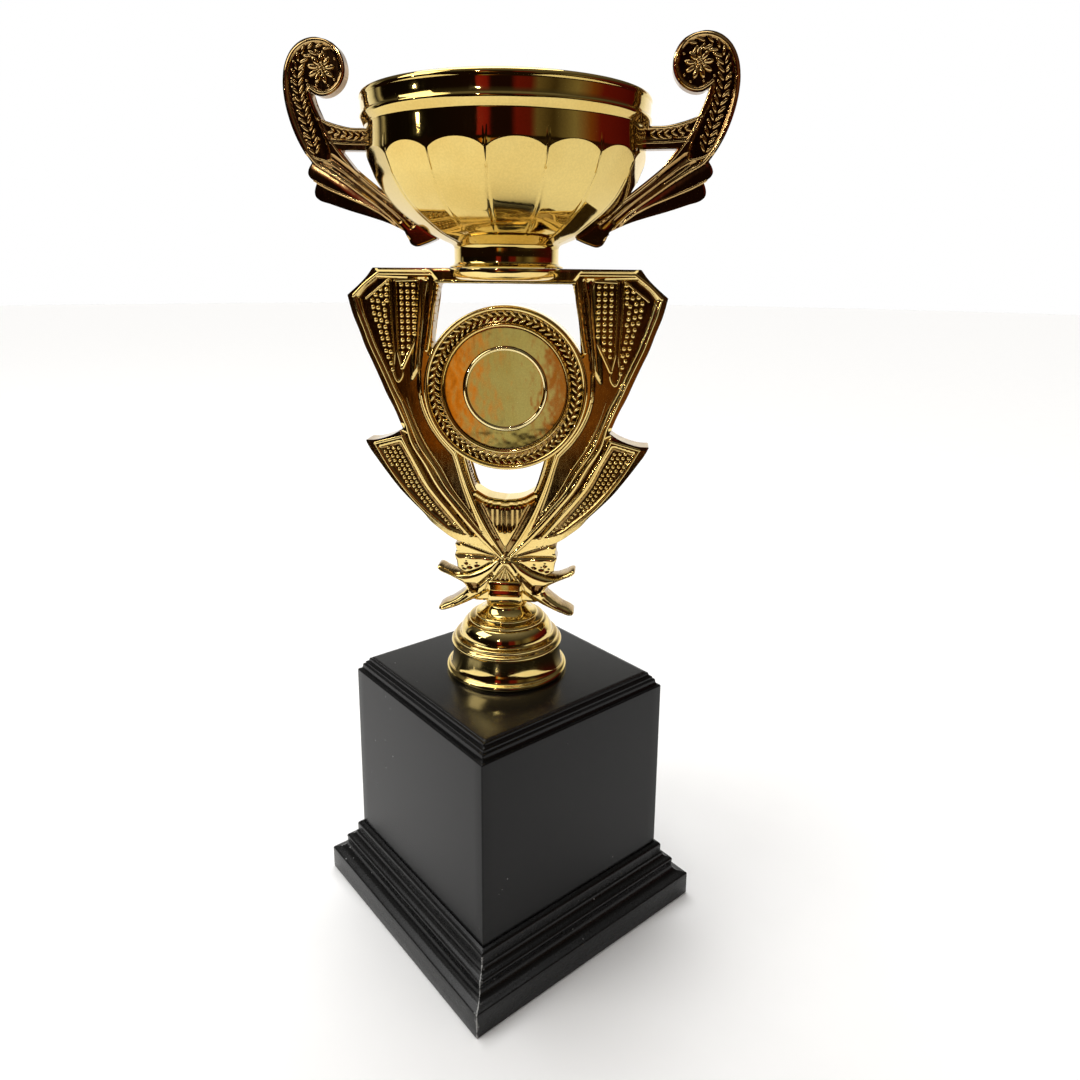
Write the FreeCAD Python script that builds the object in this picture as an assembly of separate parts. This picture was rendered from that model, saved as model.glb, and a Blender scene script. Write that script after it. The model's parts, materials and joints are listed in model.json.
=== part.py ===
import FreeCAD, Part
import os, math
from FreeCAD import Vector as V

os.makedirs("parts", exist_ok=True)

# ------------------------------------------------------------------ driving dimensions (mm)
# Cup trophy about 37 cm class: square two-piece plinth, turned collar, flat cast riser,
# scalloped bowl with two scroll handles.  +Z up, origin at the centre of the plinth underside,
# riser and handles lie in the XZ plane, a plinth corner faces -Y.
SKIRT_SIDE      = 118.0     # plinth skirt, across flats
SKIRT_FASCIA_H  = 10.6      # height of the vertical band of the skirt
SKIRT_TOP_Z     = 25.7
SKIRT_WALL      = 3.5
BOX_SIDE        = 96.0      # plinth box, across flats
BOX_BOTTOM_Z    = 14.0      # the box stands on the skirt ledge
BOX_TOP_Z       = 109.7
BOX_SHOULDER_Z  = 103.6
BOX_TOP_SIDE    = 85.4
BOX_WALL        = 3.0
LEDGE_T         = 3.4       # skirt ledge thickness
SCREW_AT        = 40.0      # skirt screws, +- on both box axes
SCREW_R         = 1.5       # 3 mm tapping screws
COLLAR_TOP_Z    = 138.6
TIE_R           = 3.0       # M6 stud
TIE_BOTTOM_Z    = 92.5
TIE_TOP_Z       = 151.0
MED_Z           = 232.8     # centre of the riser's medallion
MED_R           = 33.4      # medallion outer radius
SEAT_R          = 25.0      # standard 50 mm centre-disc seat
SEAT_DEPTH      = 1.3
RISER_HALF_T    = 5.0       # riser body is 10 mm thick
RISER_TOP_Z     = 280.4
BAR_BOTTOM_Z    = 274.5
PAD_R           = 22.5      # round seat pad under the bowl
FOOT_R          = 20.7
BOWL_WALL       = 2.4
RIM_R           = 55.3
RIM_TOP_Z       = 343.0
LOBES           = 16
GROOVE_R        = 1.6
HANDLE_HALF_T   = 2.5       # handles are 5 mm thick
PLAY            = 0.05      # assembly clearance between pieces


def deg(a):
    return math.radians(a)


def square_wire(side, z, cut=0.0):
    """Square across flats, sides along X and Y, optional corner chamfer."""
    h = side / 2.0
    c = cut
    if c <= 0:
        pts = [(h, h), (-h, h), (-h, -h), (h, -h)]
    else:
        pts = [(h, h - c), (h - c, h), (-h + c, h), (-h, h - c),
               (-h, -h + c), (-h + c, -h), (h - c, -h), (h, -h + c)]
    v = [V(x, y, z) for x, y in pts]
    return Part.makePolygon(v + [v[0]])


def square_stack(rows, cut=0.0):
    """Solid through a stack of (side, z) squares."""
    return Part.makeLoft([square_wire(s, z, cut) for s, z in rows], True, True)


def block(x0, x1, y0, y1, z0, z1):
    return Part.makeBox(x1 - x0, y1 - y0, z1 - z0, V(x0, y0, z0))


def cyl(r, z0, z1, x=0.0, y=0.0):
    return Part.makeCylinder(r, z1 - z0, V(x, y, z0))


def cyl_y(r, y0, y1, x, z):
    return Part.makeCylinder(r, y1 - y0, V(x, y0, z), V(0, 1, 0))


def revolve(pts):
    """Closed (r, z) polygon turned about the Z axis."""
    v = [V(r, 0, z) for r, z in pts]
    return Part.Face(Part.makePolygon(v + [v[0]])).revolve(V(0, 0, 0), V(0, 0, 1), 360)


def hexagon(af, z0, z1):
    r = af / math.sqrt(3.0)
    v = [V(r * math.cos(deg(60 * i)), r * math.sin(deg(60 * i)), z0) for i in range(6)]
    return Part.Face(Part.makePolygon(v + [v[0]])).extrude(V(0, 0, z1 - z0))


def face_xz(pts, y=0.0):
    v = [V(x, y, z) for x, z in pts]
    return Part.Face(Part.makePolygon(v + [v[0]]))


def plate(pts, y0, y1):
    return face_xz(pts, y0).extrude(V(0, y1 - y0, 0))


def mirrored(half):
    """Right-hand outline from top to bottom, closed with its mirror image."""
    left = [(-x, z) for x, z in reversed(half) if abs(x) > 1e-6]
    return half + left


def turn45(s):
    s = s.copy()
    s.rotate(V(0, 0, 0), V(0, 0, 1), 45)
    return s


def put(shape, name, parts=1):
    shape = shape.removeSplitter()
    solids = shape.Solids
    if len(solids) != parts:
        raise RuntimeError("%s has %d solids, wanted %d" % (name, len(solids), parts))
    for s in solids:
        if not s.isValid() or s.Volume <= 0:
            raise RuntimeError("%s is not a valid solid" % name)
    out = solids[0] if parts == 1 else Part.makeCompound(solids)
    out.exportStep("parts/%s.step" % name)
    bb = out.BoundBox
    print("%-18s %9.1f mm3  x %.1f %.1f  y %.1f %.1f  z %.1f %.1f" % (
        name, out.Volume, bb.XMin, bb.XMax, bb.YMin, bb.YMax, bb.ZMin, bb.ZMax))
    return out


# ------------------------------------------------------------------ plinth skirt
# moulding: (projection from the box face, height)
SKIRT_PROFILE = [
    (11.0, 0.0), (11.0, 10.2), (10.6, 10.6), (9.2, 11.3), (8.3, 12.0), (7.5, 13.1),
    (7.0, 14.6), (6.6, 16.4), (6.2, 17.5), (5.5, 18.2), (4.4, 18.8), (3.2, 19.6), (2.3, 20.6),
    (2.1, 21.0), (2.1, 23.3), (1.9, 24.4), (1.4, 25.3), (0.8, SKIRT_TOP_Z)]
skirt = square_stack([(BOX_SIDE + 2 * p, z) for p, z in SKIRT_PROFILE])
ledge_z0 = BOX_BOTTOM_Z - LEDGE_T
skirt = skirt.cut(square_stack([(SKIRT_SIDE - 2 * SKIRT_WALL, -1), (SKIRT_SIDE - 2 * SKIRT_WALL, 7.0),
                                (SKIRT_SIDE - 2 * SKIRT_WALL - 5.0, ledge_z0)]))
skirt = skirt.cut(square_stack([(BOX_SIDE - 9.0, ledge_z0 - 1), (BOX_SIDE - 9.0, BOX_BOTTOM_Z + 0.5)], 13.0))
skirt = skirt.cut(square_stack([(BOX_SIDE + 2 * PLAY, BOX_BOTTOM_Z), (BOX_SIDE + 2 * PLAY, SKIRT_TOP_Z + 1)]))
for sx in (-1, 1):
    for sy in (-1, 1):
        skirt = skirt.cut(cyl(SCREW_R + 0.2, ledge_z0 - 1, BOX_BOTTOM_Z + 1, sx * SCREW_AT, sy * SCREW_AT))
put(turn45(skirt), "plinth_skirt")

# ------------------------------------------------------------------ plinth box
BOX_PROFILE = [
    (0.0, BOX_BOTTOM_Z), (0.0, BOX_SHOULDER_Z), (0.4, 104.0), (0.9, 104.2), (1.1, 105.0), (1.45, 105.9),
    (2.1, 106.5), (2.5, 106.7), (2.5, 107.3), (3.1, 107.5), (3.3, 108.2), (3.8, 108.8),
    (4.5, 109.1), (4.7, 109.4), (5.3, BOX_TOP_Z)]
box = square_stack([(BOX_SIDE - 2 * p, z) for p, z in BOX_PROFILE])
cavity = square_stack([(BOX_SIDE - 2 * BOX_WALL, BOX_BOTTOM_Z - 1), (BOX_SIDE - 2 * BOX_WALL, 99.0),
                       (80.0, 105.0)])
box = box.cut(cavity)
for sx in (-1, 1):
    for sy in (-1, 1):
        x, y = sx * SCREW_AT, sy * SCREW_AT
        boss = cyl(3.6, BOX_BOTTOM_Z, 32.0, x, y)
        boss = boss.fuse(block(min(x, sx * 46.0), max(x, sx * 46.0), y - 1.0, y + 1.0, BOX_BOTTOM_Z, 32.0))
        boss = boss.fuse(block(x - 1.0, x + 1.0, min(y, sy * 46.0), max(y, sy * 46.0), BOX_BOTTOM_Z, 32.0))
        box = box.fuse(boss)
        box = box.cut(cyl(SCREW_R + PLAY, BOX_BOTTOM_Z - 1, 28.0, x, y))
box = box.fuse(cyl(11.0, 101.0, 106.0))
box = box.cut(cyl(TIE_R + 0.3, 90.0, 112.0))
put(turn45(box), "plinth_box")

# ------------------------------------------------------------------ skirt screws
screws = []
for sx in (-1, 1):
    for sy in (-1, 1):
        x, y = sx * SCREW_AT, sy * SCREW_AT
        s = cyl(SCREW_R, ledge_z0, 24.0, x, y).fuse(Part.makeCone(0.3, SCREW_R, 2.0, V(x, y, 26.0), V(0, 0, -1)))
        head = cyl(2.9, ledge_z0 - 2.0, ledge_z0, x, y)
        head = head.cut(block(x - 0.35, x + 0.35, y - 1.6, y + 1.6, ledge_z0 - 3, ledge_z0 - 1.0))
        head = head.cut(block(x - 1.6, x + 1.6, y - 0.35, y + 0.35, ledge_z0 - 3, ledge_z0 - 1.0))
        screws.append(turn45(s.fuse(head).removeSplitter()))
put(Part.makeCompound(screws), "skirt_screws", 4)

# ------------------------------------------------------------------ collar (turned, hollow)
COLLAR_OUT = [
    (25.4, BOX_TOP_Z), (25.9, 110.2), (26.0, 111.0), (25.8, 111.8), (25.3, 112.4), (24.6, 112.8),
    (23.9, 113.6), (23.5, 115.0), (23.3, 116.4), (23.3, 117.6), (23.8, 118.3), (24.0, 119.2), (23.8, 120.1),
    (23.2, 120.7), (22.1, 121.0), (21.8, 121.5), (22.2, 122.0), (22.3, 122.7), (22.0, 123.4), (21.3, 123.8),
    (20.3, 124.0), (19.6, 124.6), (18.9, 125.8), (18.1, 127.2), (17.0, 128.6), (15.6, 129.7), (13.9, 130.5),
    (12.6, 131.0), (12.4, 131.6), (12.0, 132.3), (11.2, 132.8), (10.3, 132.9), (9.4, 133.3), (8.6, 134.4),
    (7.9, 135.6), (7.3, 137.0), (7.0, 137.9), (6.6, COLLAR_TOP_Z)]
COLLAR_IN = [
    (TIE_R + 0.3, COLLAR_TOP_Z), (TIE_R + 0.3, 131.0), (10.0, 128.4), (14.0, 127.2), (16.5, 124.0),
    (19.0, 120.0), (21.0, 116.0), (22.6, 112.0), (22.6, BOX_TOP_Z)]
collar = revolve(COLLAR_OUT + COLLAR_IN)
put(collar, "collar")

# ------------------------------------------------------------------ tie rod, washer, nut
put(cyl(TIE_R, TIE_BOTTOM_Z, TIE_TOP_Z), "tie_rod")
put(cyl(9.0, 99.4, 101.0).cut(cyl(TIE_R + 0.2, 99.0, 102.0)), "tie_rod_washer")
put(hexagon(10.0, 94.4, 99.4).common(
    Part.makeSphere(7.0, V(0, 0, 96.9))).cut(cyl(TIE_R + PLAY, 94.0, 100.0)), "tie_rod_nut")
put(hexagon(10.0, 142.6, 147.6).cut(cyl(TIE_R + PLAY, 142.0, 148.0)), "riser_nut")

# ------------------------------------------------------------------ riser
# right half of the outline, top centre to bottom centre
OUTLINE = [
    (0.0, RISER_TOP_Z), (53.1, 280.3), (55.5, 277.1), (58.8, 273.8), (63.8, 269.5), (61.9, 262.0),
    (59.5, 255.7), (57.3, 249.3), (54.5, 243.0), (51.7, 236.5), (49.0, 230.0), (45.8, 223.5),
    (42.6, 215.5), (46.1, 213.2), (50.3, 211.5), (54.7, 210.4), (58.6, 210.3), (56.8, 206.8),
    (54.5, 203.4), (49.7, 196.6), (44.5, 189.8), (38.0, 182.9), (34.5, 179.4), (31.6, 175.9),
    (27.4, 172.4), (23.3, 169.4), (19.1, 167.4), (12.0, 166.0), (0.0, 166.0)]
UPPER_WINDOW = [(26.5, BAR_BOTTOM_Z), (28.9, 262.0), (30.0, 248.0)]
LOWER_WINDOW = [(18.0, 208.0), (16.4, 201.5), (15.0, 196.6), (12.8, 190.8), (7.3, 188.8), (0.0, 187.8)]
T = RISER_HALF_T
outer = mirrored(OUTLINE)
body = plate(outer, -T, T)
disc = cyl_y(MED_R, -T - 2, T + 2, 0, MED_Z)
win_u = plate(mirrored(UPPER_WINDOW), -T - 2, T + 2).cut(disc)
win_l = plate(mirrored(LOWER_WINDOW), -T - 2, T + 2).cut(disc)

# sunk field of the arms and fins, 1 mm deep on both faces, framed by a raised border
field = face_xz(outer).makeOffset2D(-3.2, 2)
fields = field.extrude(V(0, 1.0, 0))
grow_u = face_xz(mirrored([(29.5, BAR_BOTTOM_Z + 12.0), (29.5, BAR_BOTTOM_Z - 0.5), (31.9, 262.0), (33.0, 248.0)]))
grow_u = grow_u.extrude(V(0, 1.0, 0))
grow_l = face_xz(mirrored([(21.0, 208.0), (19.4, 201.0), (18.0, 196.0), (16.3, 186.5), (7.5, 181.0), (0.0, 179.0)]))
grow_l = grow_l.extrude(V(0, 1.0, 0))
bar_band = block(-70, 70, 0, 1.0, 272.3, 282.0)
med_band = cyl_y(MED_R + 2.4, 0, 1.0, 0, MED_Z)
hub_band = block(-11.0, 11.0, 0, 1.0, 160.0, 188.0)
sunk = fields.cut(grow_u).cut(grow_l).cut(bar_band).cut(med_band).cut(hub_band)
# rib across each shoulder between the two pearl panels, and the diagonal bead below them
for s in (-1, 1):
    rib = plate([(s * 45.6, 276.0), (s * 43.9, 276.0), (s * 43.6, 240.0), (s * 45.6, 240.0)], 0, 1.0)
    sunk = sunk.cut(rib)
front = sunk.copy()
front.translate(V(0, -T, 0))
back = sunk.copy()
back.translate(V(0, T - 1.0, 0))
body = body.cut(front).cut(back)
body = body.cut(win_u).cut(win_l)

# medallion: outer rim, sunk leaf band, inner ring round the flat centre seat
med = cyl_y(MED_R, -T - 1.1, T + 1.1, 0, MED_Z)
body = body.fuse(med)
for s in (-1, 1):
    def slab(r, depth_y, far=T + 3):
        a, b = sorted((s * depth_y, s * far))
        return cyl_y(r, a, b, 0, MED_Z)
    body = body.cut(slab(31.5, T).cut(slab(26.3, T)))
    body = body.cut(slab(SEAT_R, T + 1.1 - SEAT_DEPTH))

# top bar: rounded band with a seat pad for the bowl
bar = plate([(-52.6, RISER_TOP_Z), (52.6, RISER_TOP_Z), (51.8, 276.2), (26.5, BAR_BOTTOM_Z),
             (-26.5, BAR_BOTTOM_Z), (-51.8, 276.2)], -T - 0.8, T + 0.8)
pad = revolve([(0.0, RISER_TOP_Z), (PAD_R, RISER_TOP_Z), (PAD_R, 278.6), (PAD_R - 0.6, 277.2),
               (PAD_R - 2.0, 276.2), (PAD_R - 4.5, 275.8), (0.0, 275.8)])
body = body.fuse(bar).fuse(pad)

# curved double bar under the lower window and the fluted fan below it
arc_out = [(0.0, 187.8), (7.3, 188.8), (13.0, 190.3), (14.5, 188.2), (12.5, 186.0), (7.0, 184.7), (0.0, 183.7)]
body = body.fuse(plate(mirrored(arc_out), -T - 0.9, T + 0.9))
fan = plate(mirrored([(0.0, 183.7), (12.2, 186.0), (10.6, 181.0), (3.4, 169.0), (0.0, 162.6)]), -T - 0.3, T + 0.3)
for k in range(-4, 5):
    a = math.atan2(k * 2.35, 24.6)
    d = V(math.sin(a), 0, math.cos(a))
    for s in (-1, 1):
        g = Part.makeCylinder(0.62, 20.0, V(0, s * (T + 0.55), 159.9) + d * 13.0, d)
        fan = fan.cut(g)
body = body.fuse(fan)

# hub: stepped block, four-pronged cross fins, neck
hub = plate(mirrored([(0.0, 170.0), (12.0, 167.5), (22.0, 166.0), (22.0, 155.7), (16.0, 152.0), (16.0, 138.6 + 4.0),
                      (13.0, 140.2), (0.0, 140.2)]), -3.6, 3.6)
prongs = plate(mirrored([
    (0.0, 162.5), (3.0, 161.6), (6.0, 158.8), (9.0, 156.3), (12.7, 154.2), (17.0, 152.8), (21.4, 152.8),
    (24.7, 154.0), (29.2, 155.6), (29.5, 154.3), (25.2, 152.1), (21.0, 150.1), (17.5, 147.9), (17.0, 146.0),
    (20.1, 142.9), (24.3, 139.9), (28.0, 137.8), (29.3, 136.4), (28.0, 135.5), (23.7, 136.5), (19.4, 138.4),
    (15.0, 140.6), (10.8, 143.1), (7.5, 145.4), (0.0, 147.2)]), -T - 1.0, T + 1.0)
neck = block(-7.5, 7.5, -6.8, 6.8, 141.2, 148.6)
neck = neck.fuse(Part.makeLoft([
    Part.makePolygon([V(7.5, 6.8, 141.2), V(-7.5, 6.8, 141.2), V(-7.5, -6.8, 141.2), V(7.5, -6.8, 141.2), V(7.5, 6.8, 141.2)]),
    Part.makePolygon([V(6.9, 6.2, 139.8), V(-6.9, 6.2, 139.8), V(-6.9, -6.2, 139.8), V(6.9, -6.2, 139.8), V(6.9, 6.2, 139.8)]),
    Part.makePolygon([V(5.4, 4.8, COLLAR_TOP_Z), V(-5.4, 4.8, COLLAR_TOP_Z), V(-5.4, -4.8, COLLAR_TOP_Z),
                      V(5.4, -4.8, COLLAR_TOP_Z), V(5.4, 4.8, COLLAR_TOP_Z)])], True, True))
body = body.fuse(hub).fuse(prongs).fuse(neck)
# keep the hub plate clear of the collar cone
body = body.cut(cyl(TIE_R + 0.3, 138.0, 151.5))
body = body.cut(hexagon(10.3, 142.5, 147.7))
# nut pocket and bolt hole under the bowl
body = body.cut(cyl(2.8, 275.5, 281.0)).cut(hexagon(8.3, 276.2, 281.0))
put(body, "riser")

# ------------------------------------------------------------------ bowl
BOWL_OUT = [
    (FOOT_R + 0.4, RISER_TOP_Z), (FOOT_R + 0.4, 281.4), (FOOT_R, 282.2), (FOOT_R, 288.4), (22.2, 289.6),
    (26.3, 291.3), (30.2, 293.1), (34.0, 295.5), (37.8, 298.2), (41.6, 301.2), (45.3, 304.9), (49.1, 310.3),
    (51.4, 314.6), (52.9, 318.8), (53.5, 322.5), (53.5, 333.2), (54.6, 333.4), (RIM_R, 334.2), (RIM_R, 341.6),
    (RIM_R - 0.3, 342.5), (RIM_R - 1.1, RIM_TOP_Z)]
BOWL_IN = [
    (52.6, RIM_TOP_Z), (51.7, 342.4), (51.2, 341.0), (51.1, 322.8), (50.6, 319.4), (49.2, 315.6), (47.0, 311.4),
    (43.4, 306.3), (39.8, 302.7), (36.2, 299.9), (32.6, 297.3), (29.0, 295.1), (25.0, 293.4), (20.0, 292.6), (2.8, 292.6),
    (2.8, 289.4), (17.6, 289.4), (18.3, 288.6), (18.3, RISER_TOP_Z)]
bowl = revolve(BOWL_OUT + BOWL_IN)
# meridian grooves between the lobes (the two under the handles are covered by them)
for k in range(LOBES):
    if k in (0, LOBES // 2):
        continue
    a = 360.0 / LOBES * k
    path = []
    for r, z in [(24.2, 290.4), (26.3, 291.3), (30.2, 293.1), (34.0, 295.5), (37.8, 298.2), (41.6, 301.2),
                 (45.3, 304.9), (49.1, 310.3), (51.4, 314.6)]:
        path.append((r + 0.35, z - 0.35))
    for (r0, z0), (r1, z1) in zip(path[:-1], path[1:]):
        p0, p1 = V(r0, 0, z0), V(r1, 0, z1)
        g = Part.makeCylinder(GROOVE_R, (p1 - p0).Length, p0, p1 - p0)
        g = g.fuse(Part.makeSphere(GROOVE_R, p1))
        g.rotate(V(0, 0, 0), V(0, 0, 1), a)
        bowl = bowl.cut(g)
bowl_body = bowl

# ------------------------------------------------------------------ handles
STEM = [
    (73.8, 365.8), (78.7, 364.7), (82.8, 361.6), (85.5, 357.0), (86.9, 350.4), (86.6, 344.8), (85.2, 337.0),
    (82.9, 330.4), (79.5, 323.9), (76.5, 320.5), (78.7, 316.7), (78.0, 314.8), (75.3, 312.6),
    (76.3, 310.3), (76.3, 308.0), (75.2, 306.5), (70.0, 304.6), (62.0, 302.0), (54.0, 299.7), (48.0, 297.8),
    (42.8, 295.6), (40.4, 294.4), (38.5, 290.6), (36.2, 288.5), (32.1, 289.5), (27.5, 291.4), (27.5, 293.5),
    (34.0, 298.5), (41.8, 304.5), (47.7, 307.7), (52.7, 311.4), (57.4, 315.5), (61.2, 320.0), (65.0, 324.8),
    (50.5, 324.6), (50.5, 333.0), (54.2, 333.0), (60.4, 333.1), (66.0, 334.3), (72.0, 335.8), (74.2, 340.3),
    (75.2, 343.9), (76.3, 346.1), (71.2, 344.7), (66.4, 346.3), (63.1, 349.5), (62.0, 353.7), (62.7, 358.7),
    (65.3, 362.6), (69.1, 364.9)]
bowl_hull = revolve([(0.0, RISER_TOP_Z)] + [(r + PLAY, z) for r, z in BOWL_OUT[:-1]] + [(RIM_R, RIM_TOP_Z), (0.0, RIM_TOP_Z)])
handle = plate(STEM, -HANDLE_HALF_T, HANDLE_HALF_T)
# sunk channel along the stem and raised volute eye on both faces
for s in (-1, 1):
    y0, y1 = sorted((s * (HANDLE_HALF_T - 0.7), s * (HANDLE_HALF_T + 1)))
    leaf = plate([(84.4, 350.0), (84.0, 344.5), (82.8, 338.0), (80.6, 331.6), (77.4, 326.0), (73.0, 329.5),
                  (73.6, 334.0), (76.2, 339.6), (77.6, 344.0), (79.2, 347.4), (81.4, 349.5)], y0, y1)
    handle = handle.cut(leaf)
    ring = cyl_y(8.6, y0, y1, 74.3, 355.0).cut(cyl_y(6.2, y0 - 1, y1 + 1, 74.3, 355.0))
    handle = handle.cut(ring)
    eye = Part.makeSphere(3.0, V(74.3, s * (HANDLE_HALF_T - 1.3), 355.0))
    handle = handle.fuse(eye)
    # fan blades of the tail, stepped down in layers
    step = plate([(59.0, 313.0), (80.0, 321.0), (80.0, 311.6), (75.3, 312.6), (62.0, 307.6), (50.0, 303.0)], y0, y1)
    handle = handle.cut(step)
handle = handle.cut(bowl_hull)
solids = sorted(handle.Solids, key=lambda q: q.Volume)
handle = solids[-1]


# handle screws: one through the wall into the arm, one into the tail
def handle_screw(p, d, grip, extra=0.0):
    d = V(*d)
    d.normalize()
    p = V(*p)
    shank = Part.makeCylinder(1.5, grip, p, d)
    head = Part.makeCylinder(2.75, 1.7, p - d * 1.7, d)
    slot = Part.makeBox(0.7, 7.0, 1.4)
    slot.translate(V(-0.35, -3.5, -0.7))
    slot.Placement = FreeCAD.Placement(p - d * 1.7, FreeCAD.Rotation(V(0, 0, 1), d)).multiply(slot.Placement)
    return shank.fuse(head).cut(slot).removeSplitter(), Part.makeCylinder(1.5 + PLAY, grip + 0.4, p, d)


ARM_AT = ((50.9, 0, 329.0), (1, 0, 0), 11.0)
TAIL_AT = ((34.6, 0, 299.2), (0.57, 0, -0.82), 8.0)
hs, holes = [], []
for at in (ARM_AT, TAIL_AT):
    s, h = handle_screw(*at)
    hs.append(s)
    holes.append(h)
for h in holes:
    handle = handle.cut(h)
    bowl_body = bowl_body.cut(h)
    m = h.mirror(V(0, 0, 0), V(1, 0, 0))
    bowl_body = bowl_body.cut(m)
put(handle, "handle_right")
put(handle.mirror(V(0, 0, 0), V(1, 0, 0)), "handle_left")
put(bowl_body, "bowl")
put(Part.makeCompound(hs + [q.mirror(V(0, 0, 0), V(1, 0, 0)) for q in hs]), "handle_screws", 4)

# ------------------------------------------------------------------ bowl bolt, washer, captive nut
washer = cyl(7.5, 292.6, 294.0).cut(cyl(2.8, 292.0, 295.0))
put(washer, "bowl_washer")
bolt = cyl(2.5, 276.0, 294.0)
head = cyl(4.6, 294.0, 296.2).fuse(Part.makeCone(4.6, 3.6, 0.9, V(0, 0, 296.2)))
head = head.cut(block(-0.6, 0.6, -3.0, 3.0, 295.4, 298.0)).cut(block(-3.0, 3.0, -0.6, 0.6, 295.4, 298.0))
put(bolt.fuse(head), "bowl_bolt")
put(hexagon(8.0, 276.3, 280.3).cut(cyl(2.5 + PLAY, 276.0, 281.0)), "bowl_nut")
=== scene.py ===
import bpy, math, json
import numpy as np
from mathutils import Vector, Matrix

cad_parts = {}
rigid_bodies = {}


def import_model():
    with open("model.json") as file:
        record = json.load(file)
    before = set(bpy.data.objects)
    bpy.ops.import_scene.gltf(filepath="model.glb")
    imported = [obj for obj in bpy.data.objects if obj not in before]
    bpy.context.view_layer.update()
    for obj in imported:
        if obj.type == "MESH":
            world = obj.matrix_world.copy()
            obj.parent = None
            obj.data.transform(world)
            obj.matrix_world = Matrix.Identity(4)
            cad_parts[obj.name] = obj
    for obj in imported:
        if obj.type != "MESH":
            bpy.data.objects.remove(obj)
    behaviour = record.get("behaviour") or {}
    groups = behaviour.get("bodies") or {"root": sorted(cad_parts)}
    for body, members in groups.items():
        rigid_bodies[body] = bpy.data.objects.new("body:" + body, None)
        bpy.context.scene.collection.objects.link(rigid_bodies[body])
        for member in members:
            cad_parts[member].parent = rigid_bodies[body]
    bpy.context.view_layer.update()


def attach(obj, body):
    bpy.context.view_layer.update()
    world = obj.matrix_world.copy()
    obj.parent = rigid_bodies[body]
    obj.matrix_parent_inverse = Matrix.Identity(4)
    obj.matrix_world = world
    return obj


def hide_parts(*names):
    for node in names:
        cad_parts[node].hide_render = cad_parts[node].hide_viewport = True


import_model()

MM = 0.001
RNG = np.random.RandomState(7)

# =====================================================================================
# helpers
# =====================================================================================


def mesh_object(name, verts, faces, mat, sharp=None, attrs=None, y_flip=False):
    """verts in mm (n,3); faces a list of index arrays (each (m,k)); one smooth-shaded object."""
    v = np.asarray(verts, dtype=np.float64) * MM
    me = bpy.data.meshes.new(name)
    groups = [np.asarray(f, dtype=np.int64) for f in faces if len(f)]
    # faces look outwards: a closed mesh has a positive volume
    vol = sum(float(np.einsum("ij,ij->", v[g[:, 0]], np.cross(v[g[:, k]], v[g[:, k + 1]]))) for g in groups for k in range(1, g.shape[1] - 1))
    if vol < -1e-12:
        groups = [g[:, ::-1] for g in groups]
    nl = sum(g.size for g in groups)
    npoly = sum(g.shape[0] for g in groups)
    me.vertices.add(len(v))
    me.vertices.foreach_set("co", v.astype(np.float32).ravel())
    me.loops.add(nl)
    me.loops.foreach_set("vertex_index", np.concatenate([g.ravel() for g in groups]).astype(np.int32))
    me.polygons.add(npoly)
    totals = np.concatenate([np.full(g.shape[0], g.shape[1]) for g in groups])
    starts = np.concatenate([[0], np.cumsum(totals)[:-1]])
    me.polygons.foreach_set("loop_start", starts.astype(np.int32))
    me.polygons.foreach_set("loop_total", totals.astype(np.int32))
    me.update(calc_edges=True)
    me.validate(verbose=False)
    me.polygons.foreach_set("use_smooth", np.ones(len(me.polygons), dtype=bool))
    if sharp is not None:
        me.set_sharp_from_angle(angle=math.radians(sharp))
    if attrs:
        for k, a in attrs.items():
            at = me.attributes.new(k, "FLOAT", "POINT")
            at.data.foreach_set("value", np.asarray(a, dtype=np.float32))
    me.materials.append(mat)
    o = bpy.data.objects.new(name, me)
    bpy.context.scene.collection.objects.link(o)
    return o


def grid_faces(nr, nc, wrap_c=False, wrap_r=False, base=0, flip=False):
    r = np.arange(nr if wrap_r else nr - 1)
    c = np.arange(nc if wrap_c else nc - 1)
    R, C = np.meshgrid(r, c, indexing="ij")
    R2, C2 = (R + 1) % nr, (C + 1) % nc
    q = np.stack([R * nc + C, R * nc + C2, R2 * nc + C2, R2 * nc + C], -1).reshape(-1, 4) + base
    return q[:, ::-1] if flip else q


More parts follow.
